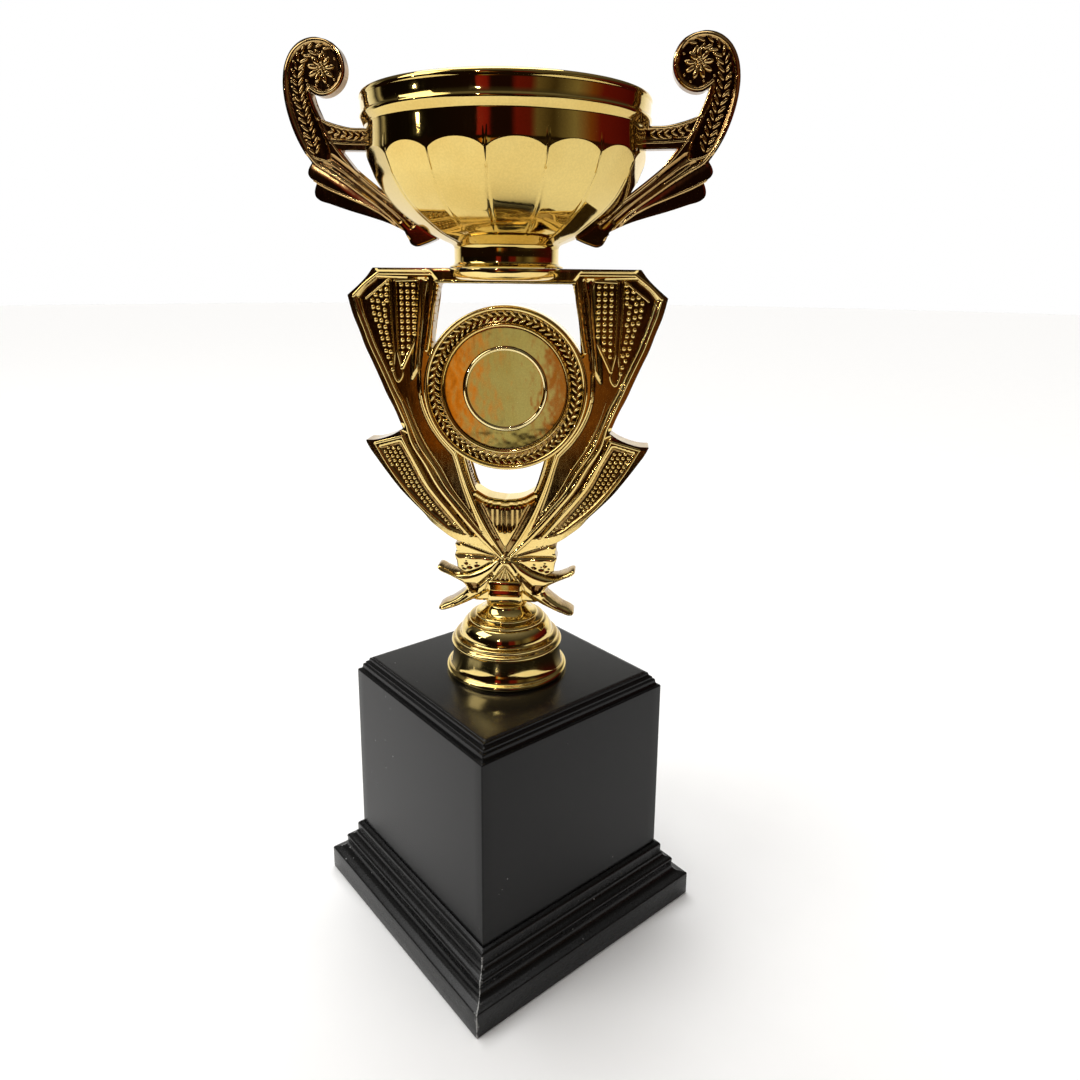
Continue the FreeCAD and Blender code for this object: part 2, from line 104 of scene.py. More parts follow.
def catmull(pts, step=0.6, closed=False):
    """Centripetal-like smooth curve through 2-D or 3-D points, evenly resampled."""
    p = np.asarray(pts, dtype=float)
    if len(p) == 2:
        n = max(2, int(np.ceil(np.linalg.norm(p[1] - p[0]) / step)) + 1)
        t = np.linspace(0, 1, n)[:, None]
        return p[0] * (1 - t) + p[1] * t
    if closed:
        q = np.vstack([p[-1], p, p[0], p[1]])
    else:
        q = np.vstack([2 * p[0] - p[1], p, 2 * p[-1] - p[-2]])
    out = []
    for i in range(1, len(q) - 2):
        p0, p1, p2, p3 = q[i - 1], q[i], q[i + 1], q[i + 2]
        d = np.linalg.norm(p2 - p1)
        d0 = max(np.linalg.norm(p1 - p0), 1e-6)
        d2 = max(np.linalg.norm(p3 - p2), 1e-6)
        d = max(d, 1e-6)
        m1 = (p2 - p1) - d * ((p2 - p0) / (d + d0) - (p1 - p0) / d0)
        m2 = (p2 - p1) + d * ((p3 - p2) / d2 - (p3 - p1) / (d + d2))
        n = max(2, int(np.ceil(d / (step * 0.5))))
        t = np.linspace(0, 1, n, endpoint=False)[:, None]
        out.append((2 * t**3 - 3 * t**2 + 1) * p1 + (t**3 - 2 * t**2 + t) * m1 + (-2 * t**3 + 3 * t**2) * p2 + (t**3 - t**2) * m2)
    out = np.vstack(out + [p[:1] if closed else p[-1:]])
    s = np.concatenate([[0], np.cumsum(np.linalg.norm(np.diff(out, axis=0), axis=1))])
    n = max(2, int(round(s[-1] / step)) + 1)
    u = np.linspace(0, s[-1], n)
    r = np.stack([np.interp(u, s, out[:, k]) for k in range(out.shape[1])], -1)
    return r[:-1] if closed else r


def path(*curves, step=0.6):
    """Joins smooth curves at their shared corner points."""
    out = []
    for c in curves:
        r = catmull(c, step)
        out.append(r if not out else r[1:])
    return np.vstack(out)


def inset(poly, d):
    """Offsets an open polyline to its right-hand side by d, with mitred corners."""
    p = np.asarray(poly, dtype=float)
    t = np.diff(p, axis=0)
    t /= np.maximum(np.linalg.norm(t, axis=1, keepdims=True), 1e-9)
    n = np.stack([t[:, 1], -t[:, 0]], -1)
    n1 = np.vstack([n[:1], n])
    n2 = np.vstack([n, n[-1:]])
    dot = (n1 * n2).sum(1, keepdims=True)
    return p + d * (n1 + n2) / np.maximum(1 + dot, 0.25)


def smooth01(x):
    x = np.clip(x, 0, 1)
    return x * x * (3 - 2 * x)


def seg_dist(X, Z, pts):
    """Distance from each (X, Z) to an open polyline, and the arc position of the nearest point."""
    p = np.asarray(pts, dtype=float)
    best = np.full(X.shape, 1e9)
    where = np.zeros(X.shape)
    s = 0.0
    for a, b in zip(p[:-1], p[1:]):
        e = b - a
        L2 = max((e**2).sum(), 1e-12)
        t = np.clip(((X - a[0]) * e[0] + (Z - a[1]) * e[1]) / L2, 0, 1)
        d2 = (X - a[0] - t * e[0]) ** 2 + (Z - a[1] - t * e[1]) ** 2
        L = math.sqrt(L2)
        m = d2 < best
        best = np.where(m, d2, best)
        where = np.where(m, s + t * L, where)
        s += L
    return np.sqrt(best), where


def poly_sdf(X, Z, poly):
    """Signed distance to a closed polygon, negative inside."""
    p = np.asarray(poly, dtype=float)
    q = np.roll(p, -1, axis=0)
    best = np.full(X.shape, 1e9)
    inside = np.zeros(X.shape, dtype=bool)
    for a, b in zip(p, q):
        e = b - a
        L2 = max((e**2).sum(), 1e-12)
        t = np.clip(((X - a[0]) * e[0] + (Z - a[1]) * e[1]) / L2, 0, 1)
        best = np.minimum(best, (X - a[0] - t * e[0]) ** 2 + (Z - a[1] - t * e[1]) ** 2)
        c = (a[1] > Z) != (b[1] > Z)
        with np.errstate(divide="ignore", invalid="ignore"):
            xi = (b[0] - a[0]) * (Z - a[1]) / (b[1] - a[1] + 1e-12) + a[0]
        inside ^= c & (X < xi)
    d = np.sqrt(best)
    return np.where(inside, -d, d)


def lathe(profile, n=160, close=True, modulate=None):
    """Turns a closed (r, z) loop about Z: vertices and faces."""
    p = np.asarray(profile, dtype=float)
    th = np.arange(n) * 2 * math.pi / n
    r = p[:, 0][:, None] * np.ones(n)[None, :]
    z = p[:, 1][:, None] * np.ones(n)[None, :]
    v = np.stack([r * np.cos(th), r * np.sin(th), z], -1).reshape(-1, 3)
    return v, [grid_faces(len(p), n, wrap_c=True, wrap_r=close)]


def tube(points, radius, sides=10, half_w=None, taper=True, flat=1.0):
    """Round bead along 3-D points (x, y, z); pointed or rounded ends; flat scales its height in y."""
    p = np.asarray(points, dtype=float)
    n = len(p)
    t = np.gradient(p, axis=0)
    t /= np.maximum(np.linalg.norm(t, axis=1, keepdims=True), 1e-9)
    up = np.array([0.0, 1.0, 0.0])
    side = np.cross(t, up)
    side /= np.maximum(np.linalg.norm(side, axis=1, keepdims=True), 1e-9)
    nor = np.cross(side, t)
    s = np.concatenate([[0], np.cumsum(np.linalg.norm(np.diff(p, axis=0), axis=1))])
    r = np.full(n, float(radius)) if np.isscalar(radius) else np.asarray(radius, float)
    if taper:
        k = 5
        e0 = [p[0] - t[0] * r[0] * math.cos(a) for a in np.linspace(0, math.pi / 2, k, endpoint=False)]
        r0 = [r[0] * max(math.sin(a), 0.04) for a in np.linspace(0, math.pi / 2, k, endpoint=False)]
        e1 = [p[-1] + t[-1] * r[-1] * math.cos(a) for a in np.linspace(math.pi / 2, 0, k + 1)[1:]]
        r1 = [r[-1] * max(math.sin(a), 0.04) for a in np.linspace(math.pi / 2, 0, k + 1)[1:]]
        p = np.vstack([e0, p, e1])
        r = np.concatenate([r0, r, r1])
        side = np.vstack([np.repeat(side[:1], k, 0), side, np.repeat(side[-1:], k, 0)])
        nor = np.vstack([np.repeat(nor[:1], k, 0), nor, np.repeat(nor[-1:], k, 0)])
    a = np.arange(sides) * 2 * math.pi / sides
    v = (p[:, None, :] + r[:, None, None] * (np.cos(a)[None, :, None] * side[:, None, :] + flat * np.sin(a)[None, :, None] * nor[:, None, :]))
    m = len(p)
    f = [grid_faces(m, sides, wrap_c=True)]
    caps0 = np.arange(sides)[::-1][None, :]
    caps1 = (np.arange(sides) + (m - 1) * sides)[None, :]
    return v.reshape(-1, 3), f + [caps0, caps1]


class Bag:
    """Collects parts of one piece."""

    def __init__(self):
        self.v, self.f, self.n, self.a = [], [], 0, []

    def add(self, v, faces, attr=None):
        v = np.asarray(v, dtype=float)
        for f in faces:
            self.f.append(np.asarray(f) + self.n)
        self.v.append(v)
        self.a.append(np.zeros(len(v)) if attr is None else np.broadcast_to(attr, (len(v),)))
        self.n += len(v)

    def mirror_x(self):
        v = np.vstack(self.v)
        fs = list(self.f)
        n = self.n
        w = v.copy()
        w[:, 0] *= -1
        self.v.append(w)
        self.a.append(np.concatenate(self.a))
        for f in fs:
            self.f.append(f[:, ::-1] + n)
        self.n += len(v)

    def mirror_y(self):
        v = np.vstack(self.v)
        fs = list(self.f)
        n = self.n
        w = v.copy()
        w[:, 1] *= -1
        self.v.append(w)
        self.a.append(np.concatenate(self.a))
        for f in fs:
            self.f.append(f[:, ::-1] + n)
        self.n += len(v)

    def build(self, name, mat, sharp=None, attr_name="cav"):
        by = {}
        for f in self.f:
            by.setdefault(f.shape[1], []).append(f)
        faces = [np.vstack(x) for x in by.values()]
        return mesh_object(name, np.vstack(self.v), faces, mat, sharp, {attr_name: np.concatenate(self.a)})


# =====================================================================================
# materials
# =====================================================================================


def N(nt, kind, **inputs):
    n = nt.nodes.new(kind)
    for k, v in inputs.items():
        if k.startswith("_"):
            setattr(n, k[1:], v)
        else:
            n.inputs[k.replace("__", " ")].default_value = v
    return n


def base_mat(name):
    m = bpy.data.materials.new(name)
    m.use_nodes = True
    nt = m.node_tree
    nt.nodes.clear()
    out = nt.nodes.new("ShaderNodeOutputMaterial")
    b = nt.nodes.new("ShaderNodeBsdfPrincipled")
    nt.links.new(b.outputs[0], out.inputs[0])
    tc = nt.nodes.new("ShaderNodeTexCoord")
    return m, nt, b, tc


def ramp(nt, stops, fac=None, interp="LINEAR"):
    r = nt.nodes.new("ShaderNodeValToRGB")
    r.color_ramp.interpolation = interp
    el = r.color_ramp.elements
    while len(el) < len(stops):
        el.new(0.5)
    for e, (p, c) in zip(el, stops):
        e.position = p
        e.color = (c[0], c[1], c[2], 1) if len(c) == 3 else c
    if fac is not None:
        nt.links.new(fac, r.inputs[0])
    return r


def gold_material(name, light=(0.90, 0.73, 0.34), deep=(0.84, 0.63, 0.24), rough=0.06, cavity=True, peel=0.012, wave_scale=26.0, hair=0.0022):
    """Vacuum-plated gold over a glossy moulding: lacquer tint drift, orange peel, fine hairlines, painted shade
    darkening the recesses.
    """
    m, nt, b, tc = base_mat(name)
    L = nt.links.new
    obj = tc.outputs["Object"]
    # slow tint drift of the lacquer
    n1 = N(nt, "ShaderNodeTexNoise", Scale=38.0, Detail=3.0, Roughness=0.55)
    L(obj, n1.inputs["Vector"])
    tint = ramp(nt, [(0.30, deep), (0.62, light)], n1.outputs["Fac"])
    # fine speckle
    n2 = N(nt, "ShaderNodeTexNoise", Scale=1400.0, Detail=2.0, Roughness=0.6)
    L(obj, n2.inputs["Vector"])
    r2 = ramp(nt, [(0.42, (0.93, 0.93, 0.93)), (0.60, (1, 1, 1))], n2.outputs["Fac"])
    mul = N(nt, "ShaderNodeMix", _data_type="RGBA", _blend_type="MULTIPLY")
    mul.inputs[0].default_value = 1.0
    L(tint.outputs[0], mul.inputs[6])
    L(r2.outputs[0], mul.inputs[7])
    col = mul.outputs[2]
    # recess attribute: painted shade, the colour darkened towards brown in the recesses and broken up by noise; the
    # recesses are also a little rougher
    at = nt.nodes.new("ShaderNodeAttribute")
    at.attribute_name = "cav"
    if cavity:
        n3 = N(nt, "ShaderNodeTexNoise", Scale=420.0, Detail=4.0, Roughness=0.7)
        L(obj, n3.inputs["Vector"])
        mm = N(nt, "ShaderNodeMath", _operation="MULTIPLY")
        L(at.outputs["Fac"], mm.inputs[0])
        mr = N(nt, "ShaderNodeMapRange")
        mr.inputs["From Min"].default_value = 0.25
        mr.inputs["From Max"].default_value = 0.65
        L(n3.outputs["Fac"], mr.inputs["Value"])
        mr.inputs["To Min"].default_value = 0.55
        L(mr.outputs[0], mm.inputs[1])
        cx = N(nt, "ShaderNodeMix", _data_type="RGBA", _blend_type="MIX")
        L(mm.outputs[0], cx.inputs[0])
        L(col, cx.inputs[6])
        # dark brown of the painted recess shade
        cx.inputs[7].default_value = (0.15, 0.065, 0.018, 1)
        col = cx.outputs[2]
    L(col, b.inputs["Base Color"])
    b.inputs["Metallic"].default_value = 1.0
    # roughness: polished, with wiped streaks
    mp = nt.nodes.new("ShaderNodeMapping")
    mp.inputs["Scale"].default_value = (900.0, 900.0, 120.0)
    mp.inputs["Rotation"].default_value = (0.5, 0.3, 0.8)
    L(obj, mp.inputs["Vector"])
    n4 = N(nt, "ShaderNodeTexNoise", Scale=1.0, Detail=3.0, Roughness=0.65)
    L(mp.outputs[0], n4.inputs["Vector"])
    n5 = N(nt, "ShaderNodeTexNoise", Scale=60.0, Detail=4.0, Roughness=0.6)
    L(obj, n5.inputs["Vector"])
    a1 = N(nt, "ShaderNodeMath", _operation="MULTIPLY")
    L(n4.outputs["Fac"], a1.inputs[0])
    L(n5.outputs["Fac"], a1.inputs[1])
    rr = N(nt, "ShaderNodeMapRange")
    rr.inputs["From Min"].default_value = 0.12
    rr.inputs["From Max"].default_value = 0.42
    rr.inputs["To Min"].default_value = rough * 0.65
    rr.inputs["To Max"].default_value = rough * 1.9
    L(a1.outputs[0], rr.inputs["Value"])
    ra = N(nt, "ShaderNodeMath", _operation="MULTIPLY_ADD")
    L(at.outputs["Fac"], ra.inputs[0])
    ra.inputs[1].default_value = 0.03 if cavity else 0.0
    L(rr.outputs[0], ra.inputs[2])
    L(ra.outputs[0], b.inputs["Roughness"])
    # surface: gentle waviness of the moulding, orange peel and hairlines
    w = N(nt, "ShaderNodeTexNoise", Scale=wave_scale * 10, Detail=2.0, Roughness=0.5)
    L(obj, w.inputs["Vector"])
    bu = nt.nodes.new("ShaderNodeBump")
    bu.inputs["Strength"].default_value = 1.0
    bu.inputs["Distance"].default_value = peel * MM
    L(w.outputs["Fac"], bu.inputs["Height"])
    bu2 = nt.nodes.new("ShaderNodeBump")
    bu2.inputs["Strength"].default_value = 1.0
    bu2.inputs["Distance"].default_value = hair * MM
    L(n4.outputs["Fac"], bu2.inputs["Height"])
    L(bu.outputs[0], bu2.inputs["Normal"])
    L(bu2.outputs[0], b.inputs["Normal"])
    return m


def black_material(name, base=(0.0075, 0.0075, 0.0078), rough=0.30, streak=(0.2, 1.0, 1.0), spec=0.5, top=None):
    """Satin black lacquered moulding: faint mottling, soft polishing marks, lint specks and rubbed edges."""
    m, nt, b, tc = base_mat(name)
    L = nt.links.new
    obj = tc.outputs["Object"]
    n1 = N(nt, "ShaderNodeTexNoise", Scale=30.0, Detail=4.0, Roughness=0.6)
    L(obj, n1.inputs["Vector"])
    c1 = ramp(nt, [(0.3, tuple(x * 0.8 for x in base)), (0.7, tuple(x * 1.35 for x in base))], n1.outputs["Fac"])
    # lint: sparse tiny pale specks
    v = N(nt, "ShaderNodeTexVoronoi", Scale=260.0)
    v.inputs["Randomness"].default_value = 1.0
    L(obj, v.inputs["Vector"])
    n2 = N(nt, "ShaderNodeTexNoise", Scale=34.0, Detail=2.0)
    L(obj, n2.inputs["Vector"])
    sp = N(nt, "ShaderNodeMapRange")
    sp.inputs["From Min"].default_value = 0.10
    sp.inputs["From Max"].default_value = 0.055
    L(v.outputs["Distance"], sp.inputs["Value"])
    gate = N(nt, "ShaderNodeMapRange")
    gate.inputs["From Min"].default_value = 0.60
    gate.inputs["From Max"].default_value = 0.72
    L(n2.outputs["Fac"], gate.inputs["Value"])
    sm = N(nt, "ShaderNodeMath", _operation="MULTIPLY", _use_clamp=True)
    L(sp.outputs[0], sm.inputs[0])
    L(gate.outputs[0], sm.inputs[1])
    # rubbed edges from the vertex attribute
    at = nt.nodes.new("ShaderNodeAttribute")
    at.attribute_name = "cav"
    n3 = N(nt, "ShaderNodeTexNoise", Scale=520.0, Detail=5.0, Roughness=0.75)
    L(obj, n3.inputs["Vector"])
    eg = N(nt, "ShaderNodeMath", _operation="MULTIPLY")
    L(at.outputs["Fac"], eg.inputs[0])
    L(n3.outputs["Fac"], eg.inputs[1])
    er = N(nt, "ShaderNodeMapRange")
    er.inputs["From Min"].default_value = 0.42
    er.inputs["From Max"].default_value = 0.62
    L(eg.outputs[0], er.inputs["Value"])
    mx = N(nt, "ShaderNodeMath", _operation="MAXIMUM")
    L(sm.outputs[0], mx.inputs[0])
    L(er.outputs[0], mx.inputs[1])
    cx = N(nt, "ShaderNodeMix", _data_type="RGBA", _blend_type="MIX")
    L(mx.outputs[0], cx.inputs[0])
    L(c1.outputs[0], cx.inputs[6])
    cx.inputs[7].default_value = (0.42, 0.42, 0.41, 1)
    L(cx.outputs[2], b.inputs["Base Color"])
    # roughness with long polishing strokes
    mp = nt.nodes.new("ShaderNodeMapping")
    mp.inputs["Scale"].default_value = tuple(700.0 * s for s in streak)
    L(obj, mp.inputs["Vector"])
    n4 = N(nt, "ShaderNodeTexNoise", Scale=1.0, Detail=4.0, Roughness=0.6)
    L(mp.outputs[0], n4.inputs["Vector"])
    rr = N(nt, "ShaderNodeMapRange")
    rr.inputs["From Min"].default_value = 0.3
    rr.inputs["From Max"].default_value = 0.7
    rr.inputs["To Min"].default_value = rough * 0.94
    rr.inputs["To Max"].default_value = rough * 1.06
    L(n4.outputs["Fac"], rr.inputs["Value"])
    ra = N(nt, "ShaderNodeMath", _operation="MULTIPLY_ADD", _use_clamp=True)
    L(mx.outputs[0], ra.inputs[0])
    ra.inputs[1].default_value = 0.35
    L(rr.outputs[0], ra.inputs[2])
    rough_out = ra.outputs[0]
    if top is not None:
        # the flat top is buffed to a higher gloss than the sides
        sz = nt.nodes.new("ShaderNodeSeparateXYZ")
        L(obj, sz.inputs[0])
        tz = N(nt, "ShaderNodeMapRange")
        tz.inputs["From Min"].default_value = top - 0.0002
        tz.inputs["From Max"].default_value = top + 0.0002
        L(sz.outputs[2], tz.inputs["Value"])
        tr = N(nt, "ShaderNodeMapRange")
        tr.inputs["To Min"].default_value = 1.0
        tr.inputs["To Max"].default_value = 0.85
        L(tz.outputs[0], tr.inputs["Value"])
        rm = N(nt, "ShaderNodeMath", _operation="MULTIPLY")
        L(rough_out, rm.inputs[0])
        L(tr.outputs[0], rm.inputs[1])
        rough_out = rm.outputs[0]
        ts = N(nt, "ShaderNodeMapRange")
        ts.inputs["To Min"].default_value = spec
        ts.inputs["To Max"].default_value = spec * 4.0
        L(tz.outputs[0], ts.inputs["Value"])
        L(ts.outputs[0], b.inputs["Specular IOR Level"])
    else:
        b.inputs["Specular IOR Level"].default_value = spec
    L(rough_out, b.inputs["Roughness"])
    b.inputs["IOR"].default_value = 1.52
    w = N(nt, "ShaderNodeTexNoise", Scale=620.0, Detail=2.0, Roughness=0.5)
    L(obj, w.inputs["Vector"])
    bu = nt.nodes.new("ShaderNodeBump")
    bu.inputs["Distance"].default_value = 0.010 * MM
    L(w.outputs["Fac"], bu.inputs["Height"])
    L(bu.outputs[0], b.inputs["Normal"])
    return m


def zinc_material(name):
    m, nt, b, tc = base_mat(name)
    L = nt.links.new
    obj = tc.outputs["Object"]
    n1 = N(nt, "ShaderNodeTexVoronoi", Scale=900.0)
    L(obj, n1.inputs["Vector"])
    n2 = N(nt, "ShaderNodeTexNoise", Scale=300.0, Detail=4.0, Roughness=0.6)
    L(obj, n2.inputs["Vector"])
    c = ramp(nt, [(0.3, (0.42, 0.43, 0.46)), (0.7, (0.66, 0.66, 0.67))], n2.outputs["Fac"])
    L(c.outputs[0], b.inputs["Base Color"])
    b.inputs["Metallic"].default_value = 1.0
    rr = N(nt, "ShaderNodeMapRange")
    rr.inputs["To Min"].default_value = 0.22
    rr.inputs["To Max"].default_value = 0.45
    L(n1.outputs["Distance"], rr.inputs["Value"])
    L(rr.outputs[0], b.inputs["Roughness"])
    bu = nt.nodes.new("ShaderNodeBump")
    bu.inputs["Distance"].default_value = 0.02 * MM
    L(n2.outputs["Fac"], bu.inputs["Height"])
    L(bu.outputs[0], b.inputs["Normal"])
    return m


GOLD_BOWL = gold_material("gold_bowl", light=(0.71, 0.535, 0.18), deep=(0.65, 0.46, 0.135), rough=0.050, cavity=False, peel=0.010)
GOLD_COLLAR = gold_material("gold_collar", light=(0.80, 0.62, 0.24), deep=(0.73, 0.53, 0.17), rough=0.055, cavity=True, peel=0.008)
GOLD_RISER = gold_material("gold_riser", light=(0.90, 0.70, 0.28), deep=(0.82, 0.58, 0.19), rough=0.072, cavity=True, peel=0.010)
GOLD_HANDLE = gold_material("gold_handle", light=(0.64, 0.45, 0.19), deep=(0.48, 0.29, 0.10), rough=0.075, cavity=True, peel=0.012)
GOLD_SEAT = gold_material("gold_seat", light=(0.90, 0.76, 0.38), deep=(0.80, 0.62, 0.24), rough=0.065, cavity=False, peel=0.11, wave_scale=13.0, hair=0.0)
BLACK_BOX = black_material("black_box", base=(0.0035, 0.0035, 0.0037), rough=0.25, spec=0.19, top=0.1092)
BLACK_SKIRT = black_material("black_skirt", base=(0.0034, 0.0034, 0.0036), rough=0.27, streak=(0.3, 0.3, 1.0), spec=0.25)
ZINC = zinc_material("zinc_plate")

PIECES = []


def piece(o, slot, *nodes):
    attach(o, "root")
    if nodes:
        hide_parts(*nodes)
    PIECES.append(o)
    return o


# =====================================================================================
# plinth: square mouldings swept round, corners with a small radius
# =====================================================================================


def arc(cx, cz, r, a0, a1, n):
    a = np.radians(np.linspace(a0, a1, n))
    return [(cx + r * math.cos(t), cz + r * math.sin(t)) for t in a]


def square_sweep(loop, rc=0.55, nc=5, side_div=14):
    """Sweeps a closed (half side, z) loop round a square, turned 45 degrees about Z."""
    rings = []
    for h, z in loop:
        r = min(rc, abs(h) * 0.45)
        pts = []
        for k in range(4):
            a0 = k * 90.0
            cx, cy = [(1, 1), (-1, 1), (-1, -1), (1, -1)][k]
            for t in np.linspace(a0, a0 + 90, nc):
                pts.append((cx * (h - r) + r * math.cos(math.radians(t)), cy * (h - r) + r * math.sin(math.radians(t))))
            # points along the next side
            nx, ny = [(-1, 1), (-1, -1), (1, -1), (1, 1)][k]
            p1 = pts[-1]
            nt_ = math.radians(a0 + 90)
            p2 = (nx * (h - r) + r * math.cos(nt_), ny * (h - r) + r * math.sin(nt_))
            for u in np.linspace(0, 1, side_div + 1)[1:-1]:
                pts.append((p1[0] * (1 - u) + p2[0] * u, p1[1] * (1 - u) + p2[1] * u))
        rings.append([(x, y, z) for x, y in pts])
    v = np.array(rings)
    nr, ncol = v.shape[:2]
    c = math.sqrt(0.5)
    w = v.copy()
    w[..., 0] = c * (v[..., 0] - v[..., 1])
    w[..., 1] = c * (v[..., 0] + v[..., 1])
    return w, grid_faces(nr, ncol, wrap_c=True, wrap_r=True)


def edge_wear(w, corner_boost=1.0):
    """1 near the four vertical corners, 0 elsewhere."""
    x, y = np.abs(w[..., 0]), np.abs(w[..., 1])
    near = np.minimum(x, y)
    return np.clip(1.0 - near / 0.9, 0, 1) * corner_boost


skirt_loop = []
H0 = 48.0
P = lambda pts: [(H0 + p, z) for p, z in pts]
skirt_loop += P(arc(10.5, 0.5, 0.5, -90, 0, 4)[0:])
skirt_loop += P([(11.0, 4.0), (11.0, 8.0)])
skirt_loop += P(arc(10.4, 10.0, 0.6, 0, 75, 5))
skirt_loop += P([(9.9, 10.75), (9.3, 10.95)])
skirt_loop += P(arc(9.55, 14.6, 3.65, 250, 188, 12)[0:])           # cove
skirt_loop += P([(5.92, 14.9), (5.92, 15.9), (5.95, 16.35)])
skirt_loop += P(arc(4.9, 17.0, 1.15, -20, 88, 9))                   # ovolo nose
skirt_loop += P([(4.3, 18.35), (3.6, 18.75), (3.1, 19.3), (2.85, 19.9)])
skirt_loop += P([(2.78, 20.35), (2.45, 20.6), (2.15, 20.75)])
skirt_loop += P([(2.12, 21.2), (2.12, 22.6)])
skirt_loop += P(arc(0.62, 23.9, 1.55, -8, 82, 9))
skirt_loop += P([(0.5, 25.62), (0.16, 25.7), (0.1, 25.4), (0.1, 14.05), (-4.5, 14.0), (-4.5, 10.7), (5.0, 10.6), (7.4, 7.2), (7.5, 6.6), (7.5, 0.4), (7.9, 0.0)])
w, f = square_sweep(skirt_loop, rc=0.45, nc=5, side_div=16)
rows = np.arange(len(skirt_loop))
att = edge_wear(w) * (rows[:, None] < 48)
front = (w[..., 1] < 0) & (np.abs(w[..., 0]) < 3)
att = np.where(front, att * 1.25, att * 0.75)
skirt = mesh_object("plinth_skirt_frame", w.reshape(-1, 3), [f], BLACK_SKIRT, 32, {"cav": att.ravel()})
piece(skirt, "plinth_black", "plinth_skirt")

Q = lambda pts: [(H0 - p, z) for p, z in pts]
box_loop = []
box_loop += Q([(0.0, 14.1), (0.0, 30.0), (0.0, 60.0), (0.0, 90.0), (0.0, 102.6)])
box_loop += Q(arc(0.55, 103.2, 0.55, 180, 92, 5))
box_loop += Q([(0.95, 103.82), (1.05, 103.95)])
box_loop += Q(arc(-0.55, 105.55, 2.25, -43, -2, 6)[0:])
box_loop += Q([(1.72, 105.95), (1.85, 106.25), (2.35, 106.4), (2.6, 106.45), (2.65, 106.6), (2.65, 107.25)])
box_loop += Q([(2.75, 107.4), (3.05, 107.45), (3.12, 107.6)])
box_loop += Q(arc(1.9, 108.95, 2.0, -40, -4, 5)[1:])
box_loop += Q([(3.95, 109.0), (4.2, 109.1), (4.75, 109.12), (4.85, 109.2)])
box_loop += Q(arc(5.25, 109.35, 0.35, 180, 95, 4))
box_loop += Q([(5.9, 109.7), (12.0, 109.7), (22.0, 109.7), (34.0, 109.7), (43.0, 109.7), (43.5, 109.3), (43.5, 105.3), (43.0, 105.0), (8.0, 105.0), (3.4, 99.0), (3.0, 98.0), (3.0, 15.0), (2.6, 14.1)])
w, f = square_sweep(box_loop, rc=0.6, nc=5, side_div=20)
rows = np.arange(len(box_loop))
att = edge_wear(w, 0.55) * (rows[:, None] < 46)
boxp = mesh_object("plinth_box_shell", w.reshape(-1, 3), [f[:, ::-1]], BLACK_BOX, 32, {"cav": att.ravel()})
piece(boxp, "plinth_black", "plinth_box")

# =====================================================================================
# collar
# =====================================================================================
col = []
col += [(25.3, 109.72)]
col += arc(25.0, 111.1, 1.15, -62, 84, 12)
col += [(24.75, 112.35), (24.3, 112.75)]
col += [tuple(p) for p in catmull([(24.1, 113.1), (23.65, 114.6), (23.3, 116.8), (23.2, 119.2), (23.3, 121.5)], 0.4)]
col += arc(22.85, 122.85, 1.05, -58, 66, 10)
col += [(23.0, 124.0), (22.45, 124.15)]
col += arc(21.6, 125.1, 0.8, -50, 66, 8)
col += [(21.5, 126.0), (20.7, 126.15), (20.25, 126.4)]
col += [tuple(p) for p in catmull([(20.0, 126.7), (19.75, 128.0), (19.1, 129.8), (18.1, 131.3), (17.0, 132.3)], 0.4)]
col += arc(15.5, 132.9, 0.85, -30, 80, 8)
col += [(15.2, 133.8), (14.2, 133.95), (13.5, 134.1)]
col += arc(12.75, 134.9, 0.7, -50, 75, 8)
col += [(12.4, 135.7)]
col += [tuple(p) for p in catmull([(11.8, 135.85), (10.7, 136.5), (9.7, 137.5), (8.9, 138.7)], 0.35)]
col += arc(8.2, 139.05, 0.6, 0, 85, 4)
col += [(7.4, 139.65), (3.4, 139.65), (3.3, 139.3), (3.3, 131.5), (8.5, 130.9), (12.5, 129.6), (15.5, 126.5), (19.0, 121.0), (21.0, 116.0), (22.5, 112.0), (22.6, 109.75)]
cv, cf = lathe(col, 192)
rz = cv[:, 2]
# painted shade in the turned grooves
cavc = np.zeros(len(cv))
for zc, wd in ((112.8, 0.5), (121.7, 0.45), (124.1, 0.45), (126.1, 0.5), (132.4, 0.4), (134.0, 0.4)):
    cavc = np.maximum(cavc, np.clip(1 - np.abs(rz - zc) / wd, 0, 1))
collar = mesh_object("collar_turned", cv, [cf[0][:, ::-1]] if False else cf, GOLD_COLLAR, 40, {"cav": cavc * 0.8})
piece(collar, "gold_plate", "collar")

# =====================================================================================
# bowl: 16 flat-cut lobes under a plain wall, beaded rim, turned foot
# =====================================================================================
CORNER = catmull([(53.5, 324.5), (53.48, 322.5), (53.3, 320.7), (52.9, 318.8), (52.25, 316.7), (51.4, 314.6), (49.1, 310.3), (45.3, 304.9), (41.6, 301.2),
                  (37.8, 298.2), (34.0, 295.5), (30.2, 293.1), (26.3, 291.3), (23.4, 290.2)], 0.25)
C_R, C_Z = CORNER[:, 0], CORNER[:, 1]
C_S = np.concatenate([[0], np.cumsum(np.linalg.norm(np.diff(CORNER, axis=0), axis=1))])


def corner_r(z):
    return np.interp(-z, -C_Z, C_R)


KAP = 0.10
HALF = math.radians(11.25)
V_Z, HEAD_Z, WALL_R = 312.7, 322.6, 53.5


def kf(phi):
    return (1 - KAP) / np.cos(phi) + KAP


R_MID0 = corner_r(V_Z) / kf(HALF)
SLOPE = (WALL_R - R_MID0) / (HEAD_Z - V_Z)


def facet_r(phi, z):
    low = corner_r(z) / kf(HALF)
    high = R_MID0 + SLOPE * (z - V_Z)
    # the lobes fade into the round underside near the foot
    k = smooth01((corner_r(z) - 22.8) / 4.0)
    kk = 1 + (kf(phi) / kf(HALF) - 1) * k
    return np.where(z > V_Z, high * kf(phi), corner_r(z) * kk)


